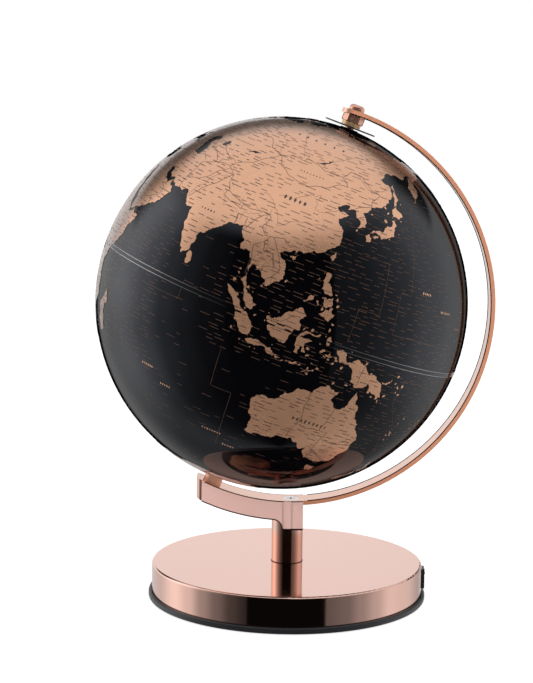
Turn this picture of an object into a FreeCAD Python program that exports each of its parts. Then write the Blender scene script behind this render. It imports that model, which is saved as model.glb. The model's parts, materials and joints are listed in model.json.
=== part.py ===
"""Illuminated desktop globe on a round metal stand.

The stand is a turned cover on a plastic tray, a cast stem with a short curved arm, and a flat
half-meridian that carries the globe between two pivots on a tilted axis. Millimetres, +Z up.
The origin is on the table, on the stem's axis. +X is the side the meridian bows out to.
"""

import FreeCAD, Part
import math
import os
import re

import Sketcher
from FreeCAD import Placement, Rotation, Vector

document = FreeCAD.newDocument("globe")
sheet = document.addObject("Spreadsheet::Sheet", "Sizes")
nodes = []

# ---------------------------------------------------------------- the driving dimensions

DRIVING = [
    ("globe_radius", 125, "outside of the ball"),
    ("globe_wall", 1.6, "wall of each half ball"),
    ("axis_tilt", 20.4, "degrees that the axis leans from upright, towards +X at the top"),
    ("arc_gap", 8.5, "radius of the meridian's inner face less the ball's radius"),
    ("arc_centre_x", 0.7, "centre of the meridian's circle, from the stem's axis"),
    ("arc_shift_x", 6.6, "how far the ball's centre lies to the left of the meridian's"),
    ("arc_shift_z", 0.8, "how far it lies above"),
    ("strip_thickness", 3.0, "meridian, flat bar"),
    ("strip_width", 18.1, "meridian, flat bar"),
    ("seat_clearance", 0.1, "side play of the meridian in the arm's recess"),
    ("arm_rim", 1.0, "wall of the arm in front of the meridian and behind it"),
    ("arm_floor", 10.0, "cast arm under the meridian"),
    ("arm_end", 1.1, "wall of the arm past the meridian's lower end"),
    ("arm_corner", 5.0, "plan radius of the arm's free end"),
    ("arm_fillet", 7.0, "hollow under the arm where it turns down into its leg"),
    ("stem_radius", 10.7, "cast stem"),
    ("stem_height", 30.4, "cover to the underside of the arm"),
    ("cover_radius", 92.6, "base cover, outside"),
    ("cover_wall", 0.8, "base cover, sheet thickness"),
    ("cover_edge", 1.6, "outer radius of the cover's top edge"),
    ("lip_wall", 1.9, "tray's lip round the cover"),
    ("tray_bottom", 0.6, "underside of the tray above the table"),
    ("tray_floor", 2.4, "tray, floor thickness"),
    ("tray_edge", 1.1, "rounding of the tray's lip"),
    ("lip_overlap", 1.6, "height of the lip over the cover's foot"),
    ("lip_gap", 0.4, "cover to the tray's lip"),
    ("spigot_gap", 0.3, "cover to the tray's locating ring"),
    ("spigot_wall", 1.4, "locating ring"),
    ("spigot_height", 3.5, "locating ring above the tray's floor"),
    ("foot_radius", 6.0, "rubber foot"),
    ("foot_inset", 11.6, "middle of a foot from the cover's outside"),
    ("foot_recess", 1.0, "depth that a foot is let into the tray"),
    ("loose_fit", 0.1, "play of a piece dropped into its recess or hole"),
    ("plug_hole", 13.0, "radius of the hole under the stem's nut"),
    ("plug_flange", 15.0, "radius of the plug that closes it"),
    ("plate_inset", 17.8, "edge of the steel ballast plate from the cover's inside"),
    ("plate_thickness", 3.6, "steel ballast plate"),
    ("nipple_radius", 5.0, "threaded tube that holds the stem, M10"),
    ("nipple_bore", 3.0, "its cable bore, radius"),
    ("nipple_grip", 16.0, "its length inside the stem"),
    ("thread_play", 0.05, "radial gap drawn for a thread or a bearing fit"),
    ("washer_radius", 11.0, "stem washer"),
    ("washer_thickness", 1.6, "stem washer"),
    ("nut_corner", 9.0, "stem nut, across corners, half"),
    ("nut_thickness", 5.0, "stem nut"),
    ("screw_inset", 12.0, "base screws from the plate's edge"),
    ("screw_radius", 1.5, "base screw, M3"),
    ("screw_head_radius", 2.9, "base screw's head"),
    ("screw_head_height", 2.0, "base screw's head"),
    ("boss_radius", 4.6, "pillar for a base screw"),
    ("head_depth", 5.0, "how deep a base screw's head lies in its pillar"),
    ("cell_radius", 7.1, "AA cell"),
    ("cell_length", 50.5, "AA cell with its cap"),
    ("cell_cap", 1.3, "height of the cell's cap"),
    ("cell_pitch", 15.2, "cell to cell"),
    ("cell_play", 0.3, "cell to the battery cover and to the roof"),
    ("box_gap", 4.0, "battery box from the plug's hole"),
    ("roof_gap", 1.5, "battery box to the ballast plate"),
    ("box_wall", 1.4, "battery box"),
    ("contact_space", 2.0, "room for a contact at each end of the cells"),
    ("contact_thickness", 0.4, "contact plate"),
    ("lid_thickness", 1.6, "battery cover"),
    ("lid_ledge", 1.5, "ledge that the battery cover lies on"),
    ("lid_screw_reach", 5.5, "cavity's end to the battery cover's screw"),
    ("lid_screw_radius", 1.2, "battery cover's screw"),
    ("lid_screw_length", 6.0, "its thread above the cover"),
    ("bezel_height", 13.6, "switch bezel"),
    ("bezel_width", 9.6, "switch bezel"),
    ("bezel_proud", 2.0, "bezel in front of the cover"),
    ("bezel_wall", 1.2, "bezel round the rocker"),
    ("switch_depth", 14.6, "housing behind the cover's outside"),
    ("pivot_inset", 4.1, "rocker's pin behind the cover's outside"),
    ("rocker_reach", 6.0, "pin to the tips of the rocker's face"),
    ("rocker_half", 4.6, "half the rocker's face"),
    ("rocker_dip", 1.1, "hollow of its face"),
    ("rocker_lean", 8.0, "degrees that the rocker leans at rest"),
    ("rocker_play", 0.2, "rocker to its bezel at the sides"),
    ("pin_radius", 1.0, "rocker's pin"),
    ("axle_radius", 4.0, "hollow lower axle"),
    ("axle_bore", 2.3, "its cable bore, radius"),
    ("axle_grip", 11.0, "its length below the meridian's inner face"),
    ("lower_collar_radius", 6.25, "collar under the ball"),
    ("bush_wall", 1.9, "pole bush round the lower axle"),
    ("bush_proud", 0.3, "pole bush outside the ball"),
    ("bush_gap", 0.1, "bush's flange to the inside of the ball"),
    ("bush_flange", 9.0, "radius of its flange inside the ball"),
    ("bush_flange_thickness", 1.1, "its flange"),
    ("thrust_gap", 0.2, "end play between turning faces"),
    ("pin_shank", 3.0, "upper pivot pin, radius"),
    ("pin_tail", 1.5, "upper pin past its clip"),
    ("cap_radius", 5.15, "domed head of the upper pivot"),
    ("cap_height", 3.8, "domed head"),
    ("cap_round", 2.6, "rounding of the head"),
    ("dial_radius", 17.5, "hour dial"),
    ("dial_thickness", 0.9, "hour dial"),
    ("dial_lift", 1.0, "hour dial above the ball at the pole"),
    ("spacer_radius", 6.5, "spacer on the dial"),
    ("spacer_height", 2.7, "spacer on the dial"),
    ("hex_corner", 7.2, "hexagonal collar under the meridian, to a corner"),
    ("clip_radius", 5.5, "retaining clip on the upper pin"),
    ("clip_thickness", 0.8, "retaining clip"),
    ("arc_screw_x", 2.2, "countersunk screw, from the stem's axis"),
    ("arc_screw_head", 5.9, "its head, radius"),
    ("arc_screw_shank", 2.5, "its thread, radius"),
    ("arc_screw_length", 10.0, "its length"),
    ("joint_ring_height", 14.0, "ring inside the ball's seam"),
    ("joint_ring_wall", 1.4, "ring inside the ball's seam"),
    ("tape_width", 3.2, "tape over the ball's seam"),
    ("tape_thickness", 0.15, "tape over the ball's seam"),
    ("lamp_inset", 21.0, "lamp board above the ball's lower pole"),
    ("board_radius", 15.0, "lamp board"),
    ("board_thickness", 1.6, "lamp board"),
    ("chip_circle", 8.5, "circle of the lamps"),
    ("diffuser_height", 10.5, "frosted cap over the lamps"),
    ("diffuser_wall", 1.0, "frosted cap over the lamps"),
    ("cable_radius", 1.0, "lamp cable"),
    ("channel_radius", 2.0, "cable's way through the casting"),
    ("channel_drop", 10.7, "depth under the arm where it leaves the stem's axis"),
    ("channel_x", 12.0, "how far left it meets the arm's groove"),
    ("cable_height", 8.0, "cables inside the base, above the table"),
]

WORKED_OUT = [
    ("cover_foot", "tray_bottom + tray_floor"),
    ("lid_top", "tray_bottom + lid_thickness"),
    ("cell_z", "lid_top + cell_play + cell_radius"),
    ("box_roof", "cell_z + cell_radius + cell_play"),
    ("plate_bottom", "box_roof + box_wall + roof_gap"),
    ("plate_top", "plate_bottom + plate_thickness"),
    ("base_height", "plate_top + cover_wall"),
    ("arm_width", "strip_width + 2 * (seat_clearance + arm_rim)"),
    ("arc_inner", "globe_radius + arc_gap"),
    ("arc_outer", "arc_inner + strip_thickness"),
    ("arm_outer", "arc_outer + arm_floor"),
    ("arc_z", "base_height + stem_height + arm_outer"),
    ("globe_x", "arc_centre_x - arc_shift_x"),
    ("globe_z", "arc_z + arc_shift_z"),
    ("lean_in", "arc_shift_x * sin(axis_tilt) - arc_shift_z * cos(axis_tilt)"),
    ("shift_square", "arc_shift_x ^ 2 + arc_shift_z ^ 2 - lean_in ^ 2"),
    ("top_inner", "sqrt(arc_inner ^ 2 - shift_square) + lean_in"),
    ("low_inner", "sqrt(arc_inner ^ 2 - shift_square) - lean_in"),
    ("top_outer", "sqrt(arc_outer ^ 2 - shift_square) + lean_in"),
    ("groove_depth", "2 * channel_radius - 0.6"),
    ("groove_radius", "arc_outer + groove_depth / 2"),
    ("low_groove", "sqrt(groove_radius ^ 2 - shift_square) - lean_in"),
    ("arm_left_x", "globe_x - low_inner * sin(axis_tilt) - strip_width / 2 - seat_clearance - arm_end"),
    ("leg_left_x", "-0.3 * stem_radius"),
    ("gusset_x", "leg_left_x - arm_fillet"),
    ("gusset_z", "arc_z - sqrt((arm_outer + arm_fillet) ^ 2 - (gusset_x - arc_centre_x) ^ 2)"),
    ("gusset_left_x", "arc_centre_x + (gusset_x - arc_centre_x) * arm_outer / (arm_outer + arm_fillet)"),
    ("channel_low_z", "base_height + stem_height - channel_drop"),
    ("channel_top_z", "arc_z - sqrt(groove_radius ^ 2 - (channel_x + arc_centre_x) ^ 2)"),
    ("channel_lean", "atan(channel_x / (channel_top_z - channel_low_z))"),
    ("channel_length", "sqrt(channel_x ^ 2 + (channel_top_z - channel_low_z) ^ 2)"),
    ("arc_screw_z", "arc_z - sqrt(arc_inner ^ 2 - (arc_screw_x - arc_centre_x) ^ 2)"),
    ("cover_inner", "cover_radius - cover_wall"),
    ("tray_radius", "cover_radius + lip_gap + lip_wall"),
    ("lip_height", "cover_foot + lip_overlap"),
    ("spigot_radius", "cover_inner - spigot_gap"),
    ("foot_circle", "cover_radius - foot_inset"),
    ("plate_radius", "cover_inner - plate_inset"),
    ("screw_circle", "plate_radius - screw_inset"),
    ("switch_z", "(cover_foot + base_height) / 2"),
    ("nut_bottom", "plate_bottom - washer_thickness - nut_thickness"),
    ("nipple_bottom", "nut_bottom - 1.5"),
    ("box_half_x", "cell_length / 2 + contact_space"),
    ("box_half_y", "1.5 * cell_pitch"),
    ("box_y", "plug_hole + box_gap + box_wall + box_half_y"),
    ("pole_hole", "axle_radius + bush_wall + 2 * thread_play"),
    ("bush_end", "globe_radius + bush_proud"),
    ("bush_seat", "sqrt((globe_radius - globe_wall) ^ 2 - bush_flange ^ 2) - bush_gap"),
    ("bush_inner_end", "bush_seat - bush_flange_thickness"),
    ("pin_low", "bush_inner_end - thrust_gap - clip_thickness - pin_tail"),
    ("dial_low", "globe_radius + dial_lift"),
    ("dial_top", "dial_low + dial_thickness"),
    ("spacer_low", "dial_top + thrust_gap"),
    ("spacer_top", "spacer_low + spacer_height"),
    ("collar_low", "bush_end + thrust_gap"),
    ("board_low", "globe_radius - lamp_inset"),
    ("board_top", "board_low - board_thickness"),
    ("pivot_x", "cover_radius - pivot_inset"),
    ("far_out", "2 * arm_outer"),
]


def fill_sheet():
    """One row for each size: its name, its value or formula, and what it is."""
    for row, (name, value, meaning) in enumerate(DRIVING, start=1):
        sheet.set(f"A{row}", name)
        sheet.set(f"B{row}", str(value))
        sheet.set(f"C{row}", meaning)
        sheet.setAlias(f"B{row}", name)
    for row, (name, formula) in enumerate(WORKED_OUT, start=len(DRIVING) + 1):
        sheet.set(f"A{row}", name)
        sheet.set(f"B{row}", "=" + formula)
        sheet.setAlias(f"B{row}", name)
    document.recompute()


fill_sheet()


def named(formula):
    """A formula on the sheet's names, such as 'arc_inner / 2', as an expression of the document."""
    return re.sub(r"\b([a-z]+(?:_[a-z0-9]+)+)\b", r"Sizes.\1", formula)


def size(name):
    return float(sheet.get(name))


# ---------------------------------------------------------------- making and placing


def add(kind, name, **formulas):
    """A document object whose properties follow formulas of the sheet."""
    made = document.addObject(kind, name)
    for key, formula in formulas.items():
        made.setExpression(key, named(formula))
    return made


def place(made, x="0", y="0", z="0", axis=None, angle="0"):
    """Ties an object's place to formulas, turned by a tied angle about the given axis."""
    if axis is not None:
        made.Placement = Placement(Vector(), Rotation(axis, 10))
        made.setExpression("Placement.Rotation.Angle", named(angle))
    for key, formula in (("x", x), ("y", y), ("z", z)):
        made.setExpression("Placement.Base." + key, named(formula))
    return made


def on_axis(made, along="0"):
    """Stands an object on the globe's axis, the given distance above the ball's centre."""
    x = f"globe_x + ({along}) * sin(axis_tilt)"
    z = f"globe_z + ({along}) * cos(axis_tilt)"
    return place(made, x=x, z=z, axis=Vector(0, 1, 0), angle="axis_tilt")


def cylinder(name, radius, height, **where):
    return place(add("Part::Cylinder", name, Radius=radius, Height=height), **where)


def block(name, x, y, z, length, width, height):
    """A box from its lowest corner, with width centred on y."""
    made = add("Part::Box", name, Length=length, Width=width, Height=height)
    return place(made, x=x, y=f"({y}) - ({width}) / 2", z=z)


def pin_on_axis(name, radius, low, high):
    return on_axis(add("Part::Cylinder", name, Radius=radius, Height=f"({high}) - ({low})"), low)


def disc_across(name, radius, width):
    """A disc about the meridian's centre, lying in the meridian's plane."""
    made = add("Part::Cylinder", name, Radius=radius, Height=width)
    return place(made, "arc_centre_x", f"({width}) / 2", "arc_z", Vector(1, 0, 0), "90")


def joined(name, *pieces):
    made = document.addObject("Part::MultiFuse", name)
    made.Shapes = list(pieces)
    made.Refine = True
    return made


def group(name, pieces):
    made = document.addObject("Part::Compound", name)
    made.Links = list(pieces)
    return made


def cut(name, base, *tools):
    made = document.addObject("Part::Cut", name)
    made.Base = base
    made.Tool = tools[0] if len(tools) == 1 else joined(name + "_tools", *tools)
    made.Refine = True
    return made


def common(name, first, second):
    made = document.addObject("Part::Common", name)
    made.Base = first
    made.Tool = second
    made.Refine = True
    return made


def outline(sketch, points):
    """A closed outline with straight sides, each corner tied to two formulas."""
    count = len(points)
    for i in range(count):
        start, end = (2 * math.pi * k / count for k in (i, i + 1))
        line = Part.LineSegment(
            Vector(20 + 10 * math.cos(start), 10 * math.sin(start), 0),
            Vector(20 + 10 * math.cos(end), 10 * math.sin(end), 0),
        )
        sketch.addGeometry(line, False)
    for i in range(count):
        sketch.addConstraint(Sketcher.Constraint("Coincident", i, 2, (i + 1) % count, 1))
    for i, corner in enumerate(points):
        for kind, other_axis, formula in (("DistanceX", -2, corner[0]), ("DistanceY", -1, corner[1])):
            if formula == "0":
                sketch.addConstraint(Sketcher.Constraint("PointOnObject", i, 1, other_axis))
                continue
            at = sketch.addConstraint(Sketcher.Constraint(kind, -1, 1, i, 1, 10.0))
            sketch.setExpression(f"Constraints[{at}]", named(formula))


def body_with_sketch(name, points):
    body = document.addObject("PartDesign::Body", name)
    sketch = body.newObject("Sketcher::SketchObject", name + "_outline")
    plane = [f for f in body.Origin.OriginFeatures if f.Role == "XZ_Plane"][0]
    sketch.AttachmentSupport = [(plane, "")]
    sketch.MapMode = "FlatFace"
    outline(sketch, points)
    return body, sketch


def turned(name, points):
    """A piece turned about its own Z axis: points are (radius, height) formulas."""
    body, sketch = body_with_sketch(name, points)
    turn = body.newObject("PartDesign::Revolution", name + "_turning")
    turn.Profile = sketch
    turn.ReferenceAxis = (sketch, ["V_Axis"])
    turn.Angle = 360
    sketch.Visibility = False
    return body


def extruded(name, points, width):
    """A piece with one outline in X and Z, carried the same way to both sides in Y."""
    body, sketch = body_with_sketch(name, points)
    pad = body.newObject("PartDesign::Pad", name + "_pad")
    pad.Profile = sketch
    pad.setExpression("Length", named(width))
    pad.Midplane = True
    return body


def rounded(body, name, radius, chosen):
    """Fillets the edges of a body's last feature that chosen(edge) picks."""
    document.recompute()
    last = body.Tip
    edges = [f"Edge{i}" for i, e in enumerate(last.Shape.Edges, start=1) if chosen(e)]
    if not edges:
        raise ValueError(f"no edge found for {name}")
    fillet = body.newObject("PartDesign::Fillet", name)
    fillet.Base = (last, edges)
    fillet.setExpression("Radius", named(radius))
    return body


def rim(radius, height):
    """Picks the circular edge of this radius at this height of a turned piece."""

    def chosen(edge):
        return (
            isinstance(edge.Curve, Part.Circle)
            and abs(edge.Curve.Radius - radius) < 1e-3
            and abs(edge.Curve.Center.z - height) < 1e-3
        )

    return chosen


def ring(name, inner, outer, low, high):
    """A plain turned ring between two radii and two heights."""
    return turned(name, [(inner, low), (outer, low), (outer, high), (inner, high)])


def corners(circle):
    """Four places on a circle, at the corners of a square, as (x, y) formulas."""
    step = f"({circle}) * sqrt(0.5)"
    return [(f"{a} * {step}", f"{b} * {step}") for a in (-1, 1) for b in (-1, 1)]


def keep(label, made):
    """Marks an object as a sub-part: its label is the name of its file."""
    made.Label = label
    nodes.append(made)
    return made


# ---------------------------------------------------------------- base


def base_cover():
    """Drawn sheet cover, with the stem's hole and a window for the switch."""
    hole = "nipple_radius + loose_fit"
    body = turned("cover_shell", [
        (hole, "base_height"),
        ("cover_radius", "base_height"),
        ("cover_radius", "cover_foot"),
        ("cover_inner", "cover_foot"),
        ("cover_inner", "plate_top"),
        (hole, "plate_top"),
    ])
    rounded(body, "cover_edge_outside", "cover_edge", rim(size("cover_radius"), size("base_height")))
    rounded(body, "cover_edge_inside", "cover_edge - cover_wall", rim(size("cover_inner"), size("plate_top")))
    window = block(
        "cover_window", "cover_inner - 2", "0", "switch_z - bezel_height / 2 + bezel_wall / 2",
        "cover_wall + 4", "bezel_width - bezel_wall", "bezel_height - bezel_wall",
    )
    keep("base_cover", cut("cover_cut", body, window))


def lid_outline(name, grow, thickness):
    """The battery cover's plate with its screw tab, or the recess that takes it."""
    plate = block(
        name + "_plate", f"-box_half_x - lid_ledge - ({grow})", "box_y", "tray_bottom",
        f"2 * (box_half_x + lid_ledge + ({grow}))", f"2 * (box_half_y + lid_ledge + ({grow}))", thickness,
    )
    tab = block(
        name + "_tab", "box_half_x", "box_y", "tray_bottom",
        f"lid_screw_reach + 4 + ({grow})", f"10 + 2 * ({grow})", thickness,
    )
    return joined(name, plate, tab)


def base_tray():
    """Moulded tray: lip, locating ring, screw pillars, battery box and recesses underneath."""
    body = turned("tray_disc", [
        ("plug_hole", "tray_bottom"),
        ("tray_radius", "tray_bottom"),
        ("tray_radius", "lip_height"),
        ("cover_radius + lip_gap", "lip_height"),
        ("cover_radius + lip_gap", "cover_foot"),
        ("spigot_radius", "cover_foot"),
        ("spigot_radius", "cover_foot + spigot_height"),
        ("spigot_radius - spigot_wall", "cover_foot + spigot_height"),
        ("spigot_radius - spigot_wall", "cover_foot"),
        ("plug_hole", "cover_foot"),
    ])
    top, bottom = (rim(size("tray_radius"), size(z)) for z in ("lip_height", "tray_bottom"))
    rounded(body, "tray_lip_edges", "tray_edge", lambda edge: top(edge) or bottom(edge))
    added, removed = [body], []
    for i, (x, y) in enumerate(corners("screw_circle")):
        pillar = f"pillar_{i}"
        added.append(cylinder(pillar, "boss_radius", "plate_bottom - tray_bottom", x=x, y=y, z="tray_bottom"))
        removed.append(cylinder(pillar + "_hole", "screw_radius + loose_fit", "plate_bottom", x=x, y=y, z="0"))
        removed.append(cylinder(
            pillar + "_counterbore", "screw_head_radius + 2 * loose_fit", "head_depth", x=x, y=y, z="0"))
    for i, (x, y) in enumerate(corners("foot_circle")):
        removed.append(cylinder(
            f"foot_recess_{i}", "foot_radius + loose_fit", "foot_recess + 1", x=x, y=y, z="tray_bottom - 1"))
    added.append(block(
        "battery_box", "-box_half_x - box_wall", "box_y", "tray_bottom",
        "2 * (box_half_x + box_wall)", "2 * (box_half_y + box_wall)", "box_roof + box_wall - tray_bottom",
    ))
    removed.append(block(
        "battery_space", "-box_half_x", "box_y", "0", "2 * box_half_x", "2 * box_half_y", "box_roof"))
    removed.append(lid_outline("lid_recess", "2 * loose_fit", "lid_thickness"))
    boss = "box_half_x + lid_screw_reach"
    added.append(cylinder(
        "lid_boss", "3.5", "lid_screw_length + lid_thickness + 1", x=boss, y="box_y", z="tray_bottom"))
    removed.append(cylinder(
        "lid_boss_hole", "lid_screw_radius + thread_play", "lid_screw_length", x=boss, y="box_y", z="lid_top"))
    keep("base_tray", cut("tray_cut", joined("tray_solid", *added), *removed))


def feet_and_plug():
    """Rubber feet let into the tray, and the rubber plug that closes the nut's hole."""
    feet = [
        cylinder(f"foot_{i}", "foot_radius", "tray_bottom + foot_recess", x=x, y=y, z="0")
        for i, (x, y) in enumerate(corners("foot_circle"))
    ]
    keep("rubber_feet", group("feet", feet))
    neck = "plug_hole - loose_fit"
    keep("centre_plug", turned("plug", [
        ("0", "0"),
        ("plug_flange", "0"),
        ("plug_flange", "tray_bottom"),
        (neck, "tray_bottom"),
        (neck, "cover_foot"),
        ("plug_hole + 0.6", "cover_foot"),
        ("plug_hole + 0.2", "cover_foot + 1"),
        (neck + " - 1.8", "cover_foot + 1"),
        (neck + " - 1.8", "tray_bottom + 0.8"),
        ("0", "tray_bottom + 0.8"),
    ]))


def ballast_and_screws():
    """Steel plate under the cover's top: weight, and the nut for everything in the base."""
    plate = ring("plate_disc", "nipple_radius + loose_fit", "plate_radius", "plate_bottom", "plate_top")
    holes, screws = [], []
    for i, (x, y) in enumerate(corners("screw_circle")):
        holes.append(cylinder(
            f"plate_hole_{i}", "screw_radius + thread_play", "plate_thickness + 2", x=x, y=y, z="plate_bottom - 1"))
        head = cylinder(
            f"screw_head_{i}", "screw_head_radius", "screw_head_height", x=x, y=y, z="head_depth - screw_head_height")
        shank = cylinder(f"screw_shank_{i}", "screw_radius", "plate_top - head_depth", x=x, y=y, z="head_depth")
        slot = block(f"screw_slot_{i}", x + " - 1.6", y, "head_depth - screw_head_height - 0.5", "3.2", "0.7", "1.3")
        cross = block(f"screw_cross_{i}", x + " - 0.35", y, "head_depth - screw_head_height - 0.5", "0.7", "3.2", "1.3")
        screws.append(cut(f"base_screw_{i}", joined(f"base_screw_blank_{i}", head, shank), slot, cross))
    keep("ballast_plate", cut("plate_cut", plate, *holes))
    keep("base_screws", group("screws", screws))


def battery():
    """Three AA cells, their contact plates, and the battery cover with its screw."""
    cells, contacts = [], []
    for i in range(3):
        y = f"box_y + {i - 1} * cell_pitch"
        flip = -1 if i == 1 else 1
        case = add("Part::Cylinder", f"cell_case_{i}", Radius="cell_radius", Height="cell_length - cell_cap")
        cap = add("Part::Cylinder", f"cell_cap_{i}", Radius="2.75", Height="cell_cap")
        along_x, turn = Vector(0, 1, 0), "90"
        if flip == 1:
            place(case, "-cell_length / 2", y, "cell_z", along_x, turn)
            place(cap, "cell_length / 2 - cell_cap", y, "cell_z", along_x, turn)
        else:
            place(case, "-cell_length / 2 + cell_cap", y, "cell_z", along_x, turn)
            place(cap, "-cell_length / 2", y, "cell_z", along_x, turn)
        cells.append(joined(f"cell_{i}", case, cap))
        for side, x in (("left", "-box_half_x"), ("right", "box_half_x - contact_thickness")):
            plate = block(
                f"contact_{side}_{i}", x, y, "cell_z - 5", "contact_thickness", "9", "10")
            leaf_x = "-box_half_x + contact_thickness" if side == "left" else "cell_length / 2"
            leaf = block(
                f"contact_leaf_{side}_{i}", leaf_x, y, "cell_z - 1.6",
                "contact_space - contact_thickness", "4", "3.2")
            contacts.append(joined(f"contact_{side}_{i}_whole", plate, leaf))
    keep("aa_cells", group("cells", cells))
    keep("battery_contacts", group("contacts", contacts))
    boss = "box_half_x + lid_screw_reach"
    hole = cylinder("lid_hole", "lid_screw_radius + loose_fit", "lid_thickness + 1", x=boss, y="box_y", z="tray_bottom")
    sink = cylinder("lid_sink", "2.4", "0.9", x=boss, y="box_y", z="tray_bottom")
    keep("battery_cover", cut("lid_cut", lid_outline("lid", "0", "lid_thickness"), hole, sink))
    head = cylinder("lid_screw_head", "2.2", "0.9", x=boss, y="box_y", z="tray_bottom")
    shank = cylinder(
        "lid_screw_shank", "lid_screw_radius", "lid_screw_length - 0.5 + lid_thickness - 0.9",
        x=boss, y="box_y", z="tray_bottom + 0.9")
    keep("battery_cover_screw", joined("lid_screw", head, shank))


def switch():
    """Rocker switch in the cover's wall: a housing with a bezel, and the rocker on its pin."""
    low = "switch_z - bezel_height / 2"
    bezel = block("bezel", "pivot_x", "0", low, "pivot_inset + bezel_proud", "bezel_width", "bezel_height")
    wall = cylinder("bezel_trim", "cover_radius", "base_height")
    face = cut("bezel_face", bezel, wall)
    inset = "(bezel_wall / 2 + loose_fit)"
    case = block(
        "switch_case", "cover_radius - switch_depth", "0", f"{low} + {inset}",
        "switch_depth + bezel_proud / 2", f"bezel_width - 2 * {inset}", f"bezel_height - 2 * {inset}",
    )
    room = block(
        "switch_room", "pivot_x - 4.2", "0", f"{low} + bezel_wall", "pivot_inset + bezel_proud + 5",
        "bezel_width - 2 * bezel_wall", "bezel_height - 2 * bezel_wall",
    )
    pin_hole = add("Part::Cylinder", "switch_pin_hole", Radius="pin_radius + thread_play", Height="bezel_width - 1.6")
    place(pin_hole, "pivot_x", "bezel_width / 2 - 0.8", "switch_z", Vector(1, 0, 0), "90")
    keep("switch_housing", cut("housing_cut", joined("housing_solid", case, face), room, pin_hole))
    rocker_width = "bezel_width - 2 * bezel_wall - 2 * rocker_play"
    rocker = extruded("rocker_blade", [
        ("rocker_reach", "rocker_half"),
        ("rocker_reach - rocker_dip", "0"),
        ("rocker_reach", "-rocker_half"),
        ("1", "-rocker_half + 0.6"),
        ("-2.4", "-2"),
        ("-2.4", "2"),
        ("1", "rocker_half - 0.6"),
    ], rocker_width)
    place(rocker, "pivot_x", "0", "switch_z", Vector(0, 1, 0), "rocker_lean")
    pin = add("Part::Cylinder", "rocker_pin", Radius="pin_radius", Height="bezel_width - 2")
    place(pin, "pivot_x", "(bezel_width - 2) / 2", "switch_z", Vector(1, 0, 0), "90")
    keep("switch_rocker", joined("rocker", rocker, pin))


# ---------------------------------------------------------------- stem and meridian


def stem_fixing():
    """Threaded tube, washer and nut that clamp the stem, the cover and the ballast plate."""
    keep("stem_nipple", ring("nipple", "nipple_bore", "nipple_radius", "nipple_bottom", "base_height + nipple_grip"))
    keep("stem_washer", ring(
        "washer", "nipple_radius + loose_fit", "washer_radius", "plate_bottom - washer_thickness", "plate_bottom"))
    prism = add("Part::Prism", "nut_prism", Circumradius="nut_corner", Height="nut_thickness")
    place(prism, z="nut_bottom")
    bore = cylinder("nut_bore", "nipple_radius + thread_play", "nut_thickness + 2", z="nut_bottom - 1")
    keep("stem_nut", cut("nut", prism, bore))


def half_meridian(name, inner, outer, width):
    """A band about the meridian's centre, on the right of the globe's axis, with round ends on it."""
    band = cut(name + "_band", disc_across(name + "_out", outer, width), disc_across(name + "_in", inner, width))
    left = add("Part::Box", name + "_left", Length="far_out", Width=f"2 * ({width})", Height="2 * far_out")
    x = "globe_x - far_out * cos(axis_tilt) - far_out * sin(axis_tilt)"
    z = "globe_z + far_out * sin(axis_tilt) - far_out * cos(axis_tilt)"
    place(left, x, f"-({width})", z, Vector(0, 1, 0), "axis_tilt")
    right = cut(name + "_right", band, left)
    ends = common(name + "_ends", band, pin_on_axis(name + "_end_pin", f"({width}) / 2", "-far_out", "far_out"))
    return joined(name, right, ends)


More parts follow.
